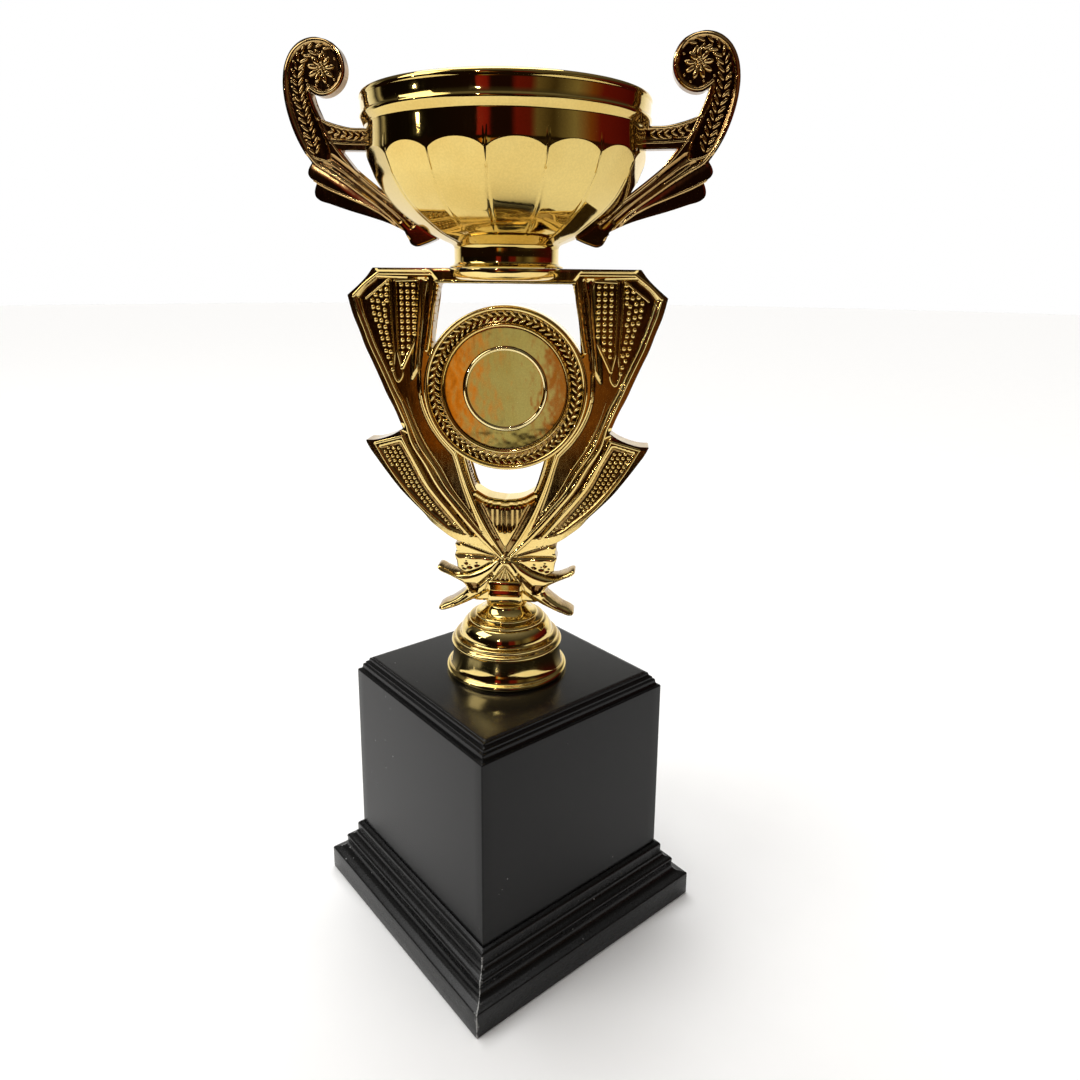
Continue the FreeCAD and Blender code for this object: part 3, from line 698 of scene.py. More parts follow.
ND = 26
j = np.arange(ND) / ND
loc = HALF * (0.5 * -np.cos(math.pi * j) + 0.5 * (2 * j - 1))
PHI = np.tile(loc, 16)
THETA = np.concatenate([math.radians(22.5 * (k + 0.5)) + loc for k in range(16)])
NCOL = len(PHI)
zz = np.arange(V_Z, HEAD_Z + 0.3, 0.005)
D = facet_r(PHI[:, None], zz[None, :]) - corner_r(zz)[None, :]
idx = np.argmax(D >= 0, axis=1)
ZH = np.where(D.max(axis=1) >= 0, zz[idx], HEAD_Z)
ZH = np.clip(ZH, V_Z, HEAD_Z)


def smin(a, b_, k):
    h = np.clip(0.5 + 0.5 * (b_ - a) / k, 0, 1)
    return b_ * (1 - h) + a * h - k * h * (1 - h)


rows_r, rows_z = [], []


def add_ring(r, z):
    rows_r.append(np.full(NCOL, float(r)))
    rows_z.append(np.full(NCOL, float(z)))


# underside of the foot, inside the cup, over the lip, down the outside
inner = [(18.3, 280.45), (18.3, 288.6), (17.6, 289.4), (9.0, 289.4), (2.8, 289.4), (2.8, 292.6), (10.0, 292.6), (20.0, 292.6)]
for r, z in inner:
    add_ring(r, z)
for r, z in catmull([(20.0, 292.6), (25.0, 293.4), (29.0, 295.1), (32.6, 297.3), (36.2, 299.9), (39.8, 302.7), (43.4, 306.3), (47.0, 311.4), (49.2, 315.6),
                     (50.6, 319.4), (51.1, 322.8), (51.15, 330.0), (51.2, 340.6)], 2.2)[1:]:
    add_ring(r, z)
for r, z in [(51.35, 341.3), (51.7, 341.9), (52.2, 342.4), (52.8, 342.75), (53.5, 342.92), (54.2, 342.88), (54.75, 342.6), (55.1, 342.15), (55.28, 341.55), (55.3, 340.9),
             (55.05, 340.55), (54.98, 340.1), (54.98, 337.6), (54.98, 335.6), (55.08, 335.25), (55.28, 334.95), (55.34, 334.5), (55.25, 334.0), (55.0, 333.55),
             (54.2, 332.35), (53.85, 331.85), (53.62, 331.62), (53.52, 331.3)]:
    add_ring(r, z)
TOPZ = 331.0
for q in list(np.linspace(0, 1, 12)[:-1]):
    z = TOPZ + (ZH + 0.75 - TOPZ) * q
    rows_z.append(z)
    rows_r.append(smin(np.where(z > 322.4, WALL_R, corner_r(z)), facet_r(PHI, z), 0.05))
for dz in (0.75, 0.45, 0.24, 0.10, 0.0):
    z = ZH + dz
    rows_z.append(z)
    rows_r.append(smin(corner_r(z), facet_r(PHI, z), 0.05))
SH = np.interp(-ZH, -C_Z, C_S)
S_END = C_S[-1]
steps = np.concatenate([[0.10, 0.24, 0.45, 0.8], np.linspace(0.8, 1e9, 2)[:0]])
NB = 46
for i in range(4 + NB):
    if i < 4:
        s = SH + steps[i]
    else:
        u = (i - 3) / NB
        s = (SH + 0.8) * (1 - u) + S_END * u
    z = np.interp(s, C_S, C_Z)
    f_r = facet_r(PHI, z)
    c_r = corner_r(z)
    r = np.where(z > V_Z - 1.0, smin(c_r + 0.0, f_r, 0.05), f_r)
    # the ridge between two lobes is slightly broken
    soft = 0.36 * np.exp(-((HALF - np.abs(PHI)) * r / 0.55) ** 2)
    rows_z.append(z)
    rows_r.append(r - np.where(z < V_Z, soft, 0.0))
for r, z in [(22.6, 289.85), (21.9, 289.5), (21.35, 289.2), (20.95, 288.8), (20.75, 288.3), (20.68, 287.5), (20.65, 285.2), (20.65, 283.0), (20.8, 282.3), (21.2, 281.75),
             (21.9, 281.35), (22.35, 281.1), (22.5, 280.8), (22.35, 280.5), (21.8, 280.42)]:
    add_ring(r, z)
BR, BZ = np.array(rows_r), np.array(rows_z)
bv = np.stack([BR * np.cos(THETA), BR * np.sin(THETA), BZ], -1)
NR = len(BR)
bowl = mesh_object("bowl_cup", bv.reshape(-1, 3), [grid_faces(NR, NCOL, wrap_c=True, wrap_r=True)[:, ::-1]], GOLD_BOWL, 38, {"cav": np.zeros(NR * NCOL)})
piece(bowl, "gold_plate_bowl", "bowl")

# =====================================================================================
# riser: pierced relief plate, both faces alike
# =====================================================================================
OUTER = path([(0, 280.4), (53.1, 280.3)],
             [(53.1, 280.3), (55.5, 277.1), (58.8, 273.8), (63.8, 269.5)],
             [(63.8, 269.5), (61.9, 262.0), (59.5, 255.7), (57.3, 249.3), (54.5, 243.0), (51.7, 236.5), (49.0, 230.0), (45.8, 223.5), (42.6, 215.5)],
             [(42.6, 215.5), (46.1, 213.2), (50.3, 211.5), (54.7, 210.4), (58.6, 210.3)],
             [(58.6, 210.3), (56.8, 206.8), (54.5, 203.4), (49.7, 196.6), (44.5, 189.8), (38.0, 182.9), (34.5, 179.4), (31.6, 175.9), (27.4, 172.4),
              (23.3, 169.4), (19.1, 167.4), (12.0, 166.0)],
             [(12.0, 166.0), (0, 166.0)], step=1.2)
WIN_U = path([(0, 274.5), (26.5, 274.5)], [(26.5, 274.5), (28.0, 268.0), (28.9, 262.0), (29.7, 255.0), (30.3, 247.0)], [(30.3, 247.0), (0, 230)], step=1.5)
WIN_L = path([(0, 215), (19.6, 212.0)], [(19.6, 212.0), (18.0, 208.0), (16.4, 201.5), (15.0, 196.6), (12.8, 190.8)], [(12.8, 190.8), (7.3, 187.6), (0.0, 186.4)], step=1.5)
HUB = [(0, 170), (12, 167.8), (17, 167.2), (21.6, 166.3), (21.0, 163.5), (21.8, 160.8), (20.9, 158.3), (20.6, 155.2), (16.5, 152.2), (16.0, 146.0), (16.0, 142.2), (12.5, 140.9), (0, 140.9)]
PRONG = path([(0, 163.6), (2.2, 162.2), (6.0, 158.8), (9.0, 156.6), (12.7, 154.6), (17.0, 153.3), (21.4, 153.0), (24.9, 154.1), (28.6, 155.75), (29.4, 155.7), (29.7, 155.0), (29.2, 154.2),
              (25.2, 152.0), (21.0, 150.0), (17.9, 148.1), (17.0, 146.6), (17.9, 144.9), (20.3, 142.8), (24.3, 139.9), (28.2, 137.9), (29.3, 136.9), (29.2, 136.0), (28.3, 135.6),
              (23.7, 136.6), (19.4, 138.4), (15.0, 140.6), (10.8, 143.1), (7.5, 145.2), (4.0, 146.6), (0.0, 147.2)], step=0.8)
RIDGE1 = [(44.2, 219.6), (42.2, 215.6), (38.9, 209.1), (32.8, 199.3), (28.3, 191.2), (21.4, 182.4), (15.8, 175.7), (7.7, 166.5), (1.4, 160.4)]
RIDGE2 = [(42.5, 226.3), (39.5, 218.0), (36.0, 208.7), (29.6, 199.1), (24.9, 190.8), (17.8, 181.8), (11.9, 174.0), (7.0, 168.4)]
RIDGE3 = [(40.9, 228.4), (37.4, 218.0), (33.0, 208.7), (26.9, 199.2), (22.4, 190.8), (15.7, 181.4), (9.6, 172.4)]
BEADC = [(20.05, 204.6), (18.45, 199.0), (15.65, 190.5), (12.25, 181.8), (7.25, 171.9), (1.0, 161.9)]
BEADD = [(17.4, 206.5), (16.35, 202.4), (15.0, 197.4), (13.25, 192.0), (12.5, 190.3)]
FIN_IN = [(43.05, 212.0), (39.85, 205.3), (36.25, 198.5), (32.55, 191.6), (28.35, 186.0), (23.35, 180.0), (18.75, 174.25), (15.2, 170.2)]
FIN_OUT = [(54.65, 208.8), (49.45, 199.6), (43.25, 190.6), (34.95, 180.9), (26.45, 173.4), (20.15, 169.0), (16.2, 168.0)]
FIN_TOP = [(54.65, 208.9), (49.05, 210.4), (43.05, 212.0)]
ARM = path([(61.95, 269.8), (60.6, 262.4)], [(60.6, 262.4), (58.2, 256.1), (56.0, 249.7), (53.2, 243.4), (50.4, 236.9), (47.7, 230.4), (44.7, 224.4), (42.6, 219.6)], step=1.0)

gx = np.concatenate([np.arange(0, 30.0, 0.40), np.arange(30.0, 64.9, 0.47)])
gx = np.concatenate([-gx[:0:-1], gx])
gz = np.concatenate([np.arange(134.9, 172.0, 0.36), np.arange(172.0, 281.2, 0.50)])
nxg, nzg = len(gx), len(gz)
AX = np.abs(gx[gx >= 0])
XX, ZZ = np.meshgrid(AX, gz, indexing="ij")


def mirror_half(a):
    return np.concatenate([a[:0:-1], a], axis=0)


def closed(right):
    r = np.asarray(right, float)
    l = r[::-1].copy()
    l[:, 0] *= -1
    return np.vstack([r, l])


s_out = poly_sdf(XX, ZZ, closed(OUTER))
s_wu = poly_sdf(XX, ZZ, closed(WIN_U))
s_wl = poly_sdf(XX, ZZ, closed(WIN_L))
dm = np.hypot(XX, ZZ - 232.8)
s_body = np.maximum.reduce([s_out, -s_wu, -s_wl, 32.3 - dm])
s_hub = poly_sdf(XX, ZZ, closed(HUB))
s_pr = poly_sdf(XX, ZZ, closed(PRONG))


def dist(pts, step=1.0):
    return seg_dist(XX, ZZ, catmull(pts, step))[0]


def rounded(s, t, rho):
    """Half thickness of a flat piece with a rounded rim."""
    d = np.clip(-s, 0, rho)
    return np.where(s < 0, t - rho + np.sqrt(np.maximum(rho**2 - (rho - d) ** 2, 0)), -1.0)


RHO_B, W_B = 0.0, 0.6
loss_b = RHO_B * np.clip(1 + s_body / W_B, 0, 1)
T = np.where(s_body < 0, 5.0 - loss_b, -1.0)
# painted shade mask: darkens the recesses through the vertex attribute
cav = np.zeros_like(T)
inb = s_body < 0

# arm and shoulder field down to the hub, with its long concave channel
FIELD = path([(36.0, 276.6), (52.2, 276.9)], [(52.2, 276.9), (57.8, 272.2), (60.3, 269.0)],
             [(60.3, 269.0), (57.6, 260.4), (54.4, 251.0), (50.2, 241.2), (45.6, 230.4), (42.25, 224.0)],
             [(42.25, 224.0), (38.0, 214.0), (34.25, 206.6), (28.15, 196.6), (21.95, 187.9), (15.65, 178.9), (9.3, 170.2)],
             [(9.3, 170.2), (12.6, 178.6), (15.4, 186.0), (17.9, 193.6), (19.8, 200.6), (21.4, 205.6)],
             [(21.4, 205.6), (27.0, 211.9), (31.6, 219.4), (34.3, 227.3), (34.9, 235.6), (34.4, 243.0), (33.4, 249.2)],
             [(33.4, 249.2), (31.9, 258.0), (31.0, 267.0), (30.5, 276.6)], [(30.5, 276.6), (36.0, 276.6)], step=1.2)
s_f = poly_sdf(XX, ZZ, FIELD)
df = np.clip(-s_f, 0, None)
lower = smooth01((246.0 - ZZ) / 14.0)
depth = 1.15 * smooth01(df / 0.9)
# the strip beside the window stands a little higher than the panels
T = np.where(inb & (s_f < 0), T - depth, T)
# the sunk field is painted with shade, less towards the bottom
cav = np.maximum(cav, np.where(s_f < 0, smooth01(df / 1.2) * (1 - 0.35 * lower), 0))
# raised centre band right of the second panel
s_st = poly_sdf(XX, ZZ, [(34.7, 276.0), (32.6, 276.0), (33.2, 262.0), (34.6, 250.0), (36.0, 240.0), (38.4, 236.0), (37.6, 250.0), (35.9, 262.0)])
T = np.where(inb, T + 0.75 * smooth01((0.6 - s_st) / 1.4) * (s_f < 0.2), T)
# the painted shade is lightened on the raised band
cav = np.where(s_st < 0.4, cav * 0.3, cav)
# fin field and the sunk gap beside it, both painted with shade
FINF = path([(52.6, 207.4), (43.9, 209.9)], [(43.9, 209.9), (39.65, 202.3), (34.65, 192.6), (28.45, 184.2), (22.15, 176.6), (17.2, 170.9)],
            [(17.2, 170.9), (22.15, 172.4), (28.55, 177.3), (36.95, 185.1), (43.95, 193.4), (49.6, 201.6), (52.6, 207.4)], step=1.2)
s_n = poly_sdf(XX, ZZ, FINF)
T = np.where(inb, T - 0.95 * smooth01((0.3 - s_n) / 0.9), T)
cav = np.maximum(cav, smooth01((0.4 - s_n) / 0.8))
GAP = path([(43.6, 214.6), (40.6, 212.9)], [(40.6, 212.9), (36.6, 205.8), (31.0, 196.0), (26.6, 188.4), (20.8, 180.6), (14.4, 173.2), (11.4, 170.4)],
           [(11.4, 170.4), (13.8, 170.1), (18.1, 174.9), (22.7, 180.7), (27.7, 186.7), (31.9, 192.3), (35.6, 199.2), (39.2, 206.0), (42.4, 212.9), (43.6, 214.6)], step=1.0)
s_g = poly_sdf(XX, ZZ, GAP)
T = np.where(inb, T - 1.5 * smooth01((0.25 - s_g) / 0.8), T)
cav = np.maximum(cav, smooth01((0.3 - s_g) / 0.7))
# edges of the two windows and of the fin's top fall away
d_win = np.where(ZZ < 274.0, np.minimum(s_wu, s_wl), 9.0)
T = np.where(inb, T - 2.1 * (1 - np.clip(d_win / 1.0, 0, 1)), T)
d_fin = np.where((ZZ > 209.0) & (ZZ < 217.5) & (XX > 42.0), -s_out, 9.0)
T = np.where(inb, T - 0.34 * (1 - np.clip(d_fin / 1.5, 0, 1)), T)

# top bar
s_bar = poly_sdf(XX, ZZ, closed([(0, 280.4), (52.4, 280.35), (50.6, 278.9), (30.0, 278.9), (28.0, 276.4), (26.4, 274.5), (0, 274.5)]))
T = np.maximum(T, np.where(inb, rounded(s_bar, 5.8, 0.9), -1))

# fluted V under the arc bar
VPAN = closed([(0, 184.4), (11.2, 186.6), (7.75, 179.3), (2.75, 169.7), (0, 164.6)])
s_v = poly_sdf(XX, ZZ, VPAN)
u = XX / 2.1 + 0.5
frac = u - np.floor(u)
end = 171.6 + 1.2 * np.abs(XX) / 6.0 + 1.6 * (2 * frac - 1) ** 2
fl = np.sqrt(np.clip(1 - (2 * frac - 1) ** 2, 0, 1)) * smooth01((ZZ - end) / 3.2)
side_gap = smooth01((0.5 - s_v) / 0.9)
inv = (s_v < 0.9) & (ZZ < 188)
T = np.where(inv & inb, 4.1 + (5.35 - 4.1) * smooth01((-s_v + 0.15) / 0.7) - 0.42 * fl * (s_v < -0.2), T)
# painted shade on the flutes and round the edge of the V
cav = np.where(inv, np.clip(0.9 * (s_v > -0.25) + 1.0 * fl, 0, 1), cav)
# ground between the arms and the V: steep bevel
between = (ZZ < 187.5) & (ZZ > 162) & (s_v >= 0.9) & (s_f > 1.2) & (XX < 12.5) & (XX < (ZZ - 160.6) * 0.55 + 0.3)
T = np.where(between & inb, np.minimum(T, 4.15), T)
# painted shade on the bevelled ground
cav = np.where(between, 0.9, cav)

# the arc bar: two mouldings that lean forward as they go down
bar_z = (s_wl > -0.6) & (s_wl < 4.2) & (XX < 12.9) & (ZZ < 190.6) & inb
T = np.where(bar_z, 4.66 + 0.25 * np.clip(np.mod(np.clip(s_wl, 0, 4.19), 2.1) / 1.75, 0, 1), T)
# painted shade in the groove between the two mouldings
cav = np.where(bar_z, 0.8 * (np.mod(np.clip(s_wl, 0, 4.19), 2.1) > 1.8), cav)

# hub block, stepped behind the prongs
Th = np.where(s_hub < 0, 4.3 - 0.6 * np.clip(1 + s_hub / 0.9, 0, 1), -1.0)
wave = 0.35 * np.sin((XX - 12.0) * 0.9) * np.exp(-((ZZ - 158.5) / 3.0) ** 2)
dots = 0.5 * np.exp(-(((XX - 12.2) / 0.8) ** 2 + ((ZZ - 157.2) / 0.8) ** 2)) + 0.5 * np.exp(-(((XX - 15.2) / 0.8) ** 2 + ((ZZ - 156.4) / 0.8) ** 2)) \
    + 0.5 * np.exp(-(((XX - 18.2) / 0.8) ** 2 + ((ZZ - 155.6) / 0.8) ** 2)) + 0.5 * np.exp(-(((XX - 16.6) / 0.7) ** 2 + ((ZZ - 158.0) / 0.7) ** 2))
Th = np.where(s_hub < 0, Th + 0.25 * wave - dots, Th)
T = np.maximum(T, Th)
# the four prongs: pillowed bars running into the centre
pil = np.clip(-s_pr / 2.3, 0, 1)
Tp = np.where(s_pr < 0, 3.0 + 3.0 * np.sqrt(np.clip(1 - (1 - pil) ** 2, 0, 1)), -1)
# radiating engraved lines and grooves
c0 = (0.6, 159.9)
T = np.maximum(T, Tp)
for a, w_, dp in (([c0, (11.55, 170.9)], 0.30, 0.45), ([c0, (10.0, 163.6), (20.6, 167.3)], 0.32, 0.42), ([c0, (10.0, 160.9), (20.6, 161.2)], 0.62, 0.7),
                  ([(6.05, 158.3), (11.65, 155.0), (17.75, 153.0), (24.65, 153.2), (28.0, 154.7)], 0.36, 0.5), ([(5.65, 153.6), (11.65, 148.1)], 0.50, 1.1),
                  ([(16.4, 143.6), (19.5, 141.0), (22.65, 139.3), (28.4, 136.7)], 0.34, 0.5), ([(0, 161.6), (4.0, 157.0), (7.2, 150.6), (8.6, 146.2)], 0.32, 0.45)):
    dd, ss = seg_dist(XX, ZZ, catmull(a, 0.8))
    g = np.exp(-(dd / w_) ** 2)
    T = T - dp * g * (T > 0)
    # painted shade in the lines and grooves
    cav = np.maximum(cav, 0.9 * g)
# deep pocket between the prongs and five short rays above the neck, both painted with shade
s_pk = poly_sdf(XX, ZZ, [(16.6, 149.3), (13.2, 149.3), (11.4, 148.2), (11.9, 145.2), (14.2, 145.5), (15.6, 147.2)])
T = np.where(T > 0, T - 2.6 * smooth01((0.3 - s_pk) / 0.8), T)
cav = np.maximum(cav, smooth01((0.4 - s_pk) / 0.6))
ray = (XX < 6.6) & (ZZ < 157.6) & (ZZ > 146.6) & (XX < (158.6 - ZZ) * 0.72)
T = np.where(ray & (T > 0), 4.55, T)
cav = np.where(ray, 0.85, cav)

s_all = np.minimum.reduce([s_body, s_hub, s_pr])
T = np.maximum(T, 1.2)
near = np.argmin(np.stack([s_body, s_hub, s_pr]), axis=0)
EB = np.where(near == 0, T + loss_b - RHO_B, np.where(near == 1, 3.7, 3.0))
EB = np.clip(EB, 1.2, 6.0)
SA, TT, SHADE_GRID, EE = mirror_half(s_all), mirror_half(T), mirror_half(cav), mirror_half(EB)


def relief_plate(SA, TT, SHADE_GRID, gx, gz, EE, edge_cav=0.85):
    """Marching squares on the outline field; front at y=-T, back at y=+T, walls between."""
    ins = SA < 0
    nx_, nz_ = SA.shape
    vid = -np.ones(SA.shape, dtype=np.int64)
    I, J = np.nonzero(ins)
    vid[I, J] = np.arange(len(I))
    vx, vz, vt, vert_shade = [gx[I]], [gz[J]], [TT[I, J]], [SHADE_GRID[I, J]]
    n = len(I)

    def crossing(i0, j0, i1, j1):
        a, b_ = SA[i0, j0], SA[i1, j1]
        t = np.clip(a / (a - b_), 0.06, 0.94)
        x = gx[i0] * (1 - t) + gx[i1] * t
        z = gz[j0] * (1 - t) + gz[j1] * t
        inner_first = a < 0
        tt = np.where(inner_first, EE[i0, j0], EE[i1, j1])
        # the outline walls are painted with shade, except along the arc bar
        cc = np.where((np.abs(x) < 13.0) & (z > 184.0) & (z < 191.5), 0.0, edge_cav)
        return x, z, tt, cc

    hx = -np.ones((nx_ - 1, nz_), dtype=np.int64)
    m = ins[:-1] != ins[1:]
    I, J = np.nonzero(m)
    x, z, t, c = crossing(I, J, I + 1, J)
    hx[I, J] = n + np.arange(len(I))
    n += len(I)
    vx.append(x); vz.append(z); vt.append(t); vert_shade.append(c)
    hz = -np.ones((nx_, nz_ - 1), dtype=np.int64)
    m = ins[:, :-1] != ins[:, 1:]
    I, J = np.nonzero(m)
    x, z, t, c = crossing(I, J, I, J + 1)
    hz[I, J] = n + np.arange(len(I))
    n += len(I)
    vx.append(x); vz.append(z); vt.append(t); vert_shade.append(c)
    vx, vz, vt, vert_shade = map(np.concatenate, (vx, vz, vt, vert_shade))
    code = ins[:-1, :-1] * 1 + ins[1:, :-1] * 2 + ins[1:, 1:] * 4 + ins[:-1, 1:] * 8
    table = {1: ("a03", "03"), 2: ("b10", "10"), 3: ("ab13", "13"), 4: ("c21", "21"), 6: ("bc20", "20"), 7: ("abc23", "23"), 8: ("d32", "32"), 9: ("a02d", "02"),
             11: ("ab12d", "12"), 12: ("cd31", "31"), 13: ("a01cd", "01"), 14: ("bcd30", "30"), 15: ("abcd", ""), 5: ("a01c23", "01,23"), 10: ("b12d30", "12,30")}
    faces = {}
    segs = []
    for cd, (poly, wall) in table.items():
        I, J = np.nonzero(code == cd)
        if not len(I):
            continue
        pick = {"a": vid[I, J], "b": vid[I + 1, J], "c": vid[I + 1, J + 1], "d": vid[I, J + 1], "0": hx[I, J], "1": hz[I + 1, J], "2": hx[I, J + 1], "3": hz[I, J]}
        faces.setdefault(len(poly), []).append(np.stack([pick[k] for k in poly], -1))
        for w_ in wall.split(","):
            if w_:
                segs.append(np.stack([pick[w_[0]], pick[w_[1]]], -1))
    segs = np.vstack(segs)
    front = np.stack([vx, -vt, vz], -1)
    back = np.stack([vx, vt, vz], -1)
    out = []
    for k, fs in faces.items():
        f_ = np.vstack(fs)
        out.append(f_)
        out.append(f_[:, ::-1] + n)
    out.append(np.stack([segs[:, 1], segs[:, 0], segs[:, 0] + n, segs[:, 1] + n], -1))
    return np.vstack([front, back]), out, np.concatenate([vert_shade, vert_shade])


rv, rf_, rc = relief_plate(SA, TT, SHADE_GRID, gx, gz, EE)
by = {}
for f_ in rf_:
    by.setdefault(f_.shape[1], []).append(f_)
riser = mesh_object("riser_plate", rv, [np.vstack(x) for x in by.values()], GOLD_RISER, 48, {"cav": rc})
piece(riser, "gold_plate_riser", "riser")


def surf(x, z):
    """Half thickness of the relief at a point."""
    fi = np.clip(np.searchsorted(AX, np.abs(x)) - 1, 0, len(AX) - 2)
    fj = np.clip(np.searchsorted(gz, z) - 1, 0, nzg - 2)
    tx = (np.abs(x) - AX[fi]) / (AX[fi + 1] - AX[fi])
    tz = (z - gz[fj]) / (gz[fj + 1] - gz[fj])
    tx, tz = np.clip(tx, 0, 1), np.clip(tz, 0, 1)
    return (T[fi, fj] * (1 - tx) * (1 - tz) + T[fi + 1, fj] * tx * (1 - tz) + T[fi, fj + 1] * (1 - tx) * tz + T[fi + 1, fj + 1] * tx * tz)


def bead(bag, pts, r, y, step=0.8, sides=10, flat=0.55, fade=None, corner=False):
    p = np.asarray(pts, float) if corner else catmull(pts, step)
    n = len(p)
    rad = np.full(n, float(r))
    if fade is not None:
        rad = np.interp(np.linspace(0, 1, n), np.linspace(0, 1, len(fade)), np.asarray(fade, float)) * r
    yy = np.full(n, -float(y))
    v, f_ = tube(np.stack([p[:, 0], yy, p[:, 1]], -1), rad, sides=sides, flat=flat)
    bag.add(v, f_)


beads = Bag()
FR_TOP = path([(28.4, 278.2), (50.95, 278.2)], [(50.95, 278.2), (56.85, 273.6), (61.3, 269.2)], step=1.0)
bead(beads, FR_TOP, 0.62, 5.05, corner=True)
bead(beads, path([(61.3, 269.2), (59.4, 261.9)], [(59.4, 261.9), (57.2, 255.9), (55.0, 249.6), (52.2, 243.3), (49.4, 236.9), (46.7, 230.6), (44.0, 224.4), (40.7, 216.6)],
                [(40.7, 216.6), (38.9, 210.1), (32.8, 200.0), (28.3, 191.9), (21.4, 182.9), (15.8, 176.1), (8.2, 167.6), (1.4, 160.4)], step=1.0),
     1.0, 4.9, corner=True, fade=[0.42, 0.42, 0.42, 0.42, 0.44, 0.6, 0.78, 0.9, 1.0, 1.05, 1.1, 1.15, 0.5])
bead(beads, path([(59.0, 268.4), (57.5, 261.9)], [(57.5, 261.9), (55.3, 255.9), (53.2, 249.9), (50.4, 243.6), (47.6, 237.2), (44.9, 230.9), (42.5, 226.3)],
                [(42.5, 226.3), (39.5, 218.0), (36.0, 208.7), (29.6, 199.1), (24.9, 190.8), (17.8, 181.8), (11.9, 174.0), (7.4, 168.6)], step=1.0),
     0.42, 4.85, corner=True, fade=[0.9, 0.9, 0.9, 0.9, 0.9, 1, 1, 0.8, 0.4])
bead(beads, RIDGE3, 0.26, 4.45, fade=[0.3, 1, 1, 1, 0.3])
bead(beads, [(20.6, 206.6)] + BEADC, 0.80, 4.95, flat=0.7, fade=[0.6, 0.8, 0.95, 1.0, 1.05, 1.0, 0.45])
bead(beads, BEADD, 0.55, 5.0)
bead(beads, FIN_IN, 0.52, 4.95, fade=[1, 1, 1, 1, 1, 1, 0.9, 0.7])
bead(beads, FIN_OUT, 0.55, 4.75, fade=[1, 1, 1, 0.9, 0.7])
bead(beads, FIN_TOP, 0.55, 4.9)
# window edges
bead(beads, [(27.95, 275.2), (28.55, 268.6), (29.85, 260.7), (31.0, 252.6), (31.9, 247.9)], 0.72, 4.9)
bead(beads, [(31.2, 275.6), (32.6, 268.6), (33.5, 260.7), (34.7, 250.8), (35.2, 244.7), (35.5, 238.6)], 0.5, 4.5, fade=[0.8, 1, 1, 1, 0.4])
bead(beads, [(-27.2, 275.25), (27.2, 275.25)], 0.7, 5.75, step=1.5)
# pearl panel borders
bead(beads, [(44.1, 275.3), (35.65, 275.6)], 0.42, 4.35)
bead(beads, [(34.85, 275.2), (34.1, 271.5), (34.65, 264.7), (35.75, 253.9)], 0.48, 4.35)
bead(beads, [(36.05, 253.0), (38.2, 248.9), (40.6, 244.0), (42.35, 240.5)], 0.72, 4.3, fade=[0.7, 0.9, 1.0, 1.15])
bead(beads, [(46.6, 276.0), (56.4, 268.2)], 0.42, 4.25)
bead(beads, [(46.3, 275.6), (46.0, 260.9), (45.45, 248.8), (44.95, 235.9), (44.2, 234.7), (43.3, 235.7), (43.9, 248.0), (44.25, 262.0), (44.4, 275.0)], 0.55, 4.35)
# small centre boss where the rays meet, keel of the V
bead(beads, [(0.0, 163.9), (0.0, 166.4)], 0.42, 5.15)
for xe in (0.0, 1.2, 2.4):
    bead(beads, [(xe * 0.22, 157.0 - 0.5 * xe), (xe * 1.0, 153.6), (xe * 1.95, 150.6)], 0.62, 4.85, flat=0.75, fade=[0.35, 0.75, 1.0])
beads_half = beads.n
m_beads = Bag()
m_beads.v, m_beads.f, m_beads.n, m_beads.a = list(beads.v), list(beads.f), beads.n, list(beads.a)
m_beads.mirror_x()
m_beads.mirror_y()
bd = m_beads.build("riser_beads", GOLD_RISER, 60)
piece(bd, "gold_plate_riser", "riser")

# pearls
P2 = [(41.9, z) for z in (273.8, 271.1, 268.7, 266.4, 264.0, 261.6, 259.2, 256.8, 254.4, 251.8, 249.0, 246.4)] + \
     [(39.4, z) for z in (273.8, 271.0, 268.7, 266.3, 264.0, 261.6, 259.2, 256.8, 254.4, 252.0, 249.2)] + \
     [(36.95, z) for z in (273.7, 271.0, 268.7, 266.3, 263.9, 261.6, 259.2, 256.8, 254.4)]
P1 = [(47.6, 274.3), (47.9, 271.9), (50.4, 271.9), (48.0, 269.7), (52.4, 269.7), (50.1, 269.4), (47.9, 267.4), (53.9, 267.4), (51.5, 267.2), (49.2, 266.2), (53.6, 264.8), (51.5, 264.5),
      (48.8, 263.7), (53.3, 262.3), (51.1, 261.9), (48.7, 261.3), (52.6, 259.7), (50.4, 259.5), (48.1, 259.0), (51.3, 257.2), (48.8, 256.9), (50.7, 254.8), (48.3, 254.6),
      (50.2, 252.3), (47.9, 252.3), (49.5, 249.8), (47.3, 249.7), (48.8, 247.3), (46.9, 246.9), (48.0, 244.8), (46.9, 242.3), (46.3, 239.7)]
inner_edge = catmull(FIN_IN, 0.3)
tg = np.gradient(inner_edge, axis=0)
tg /= np.linalg.norm(tg, axis=1, keepdims=True)
nrm = np.stack([-tg[:, 1], tg[:, 0]], -1)
PF = []
for k in range(6):
    line = inner_edge + nrm * (1.75 + 1.95 * k)
    if (line[:, 0] - inner_edge[:, 0]).mean() < 0:
        line = inner_edge - nrm * (1.75 + 1.95 * k)
    s = np.concatenate([[0], np.cumsum(np.linalg.norm(np.diff(line, axis=0), axis=1))])
    for u_ in np.arange(0.8 + (k % 2) * 1.0, s[-1], 2.02):
        x = np.interp(u_, s, line[:, 0])
        z = np.interp(u_, s, line[:, 1])
        PF.append((x, z))
PF = np.array(PF)
sp_ = poly_sdf(PF[:, 0], PF[:, 1], FINF)
PF = [tuple(p) for p in PF[sp_ < -0.62]]

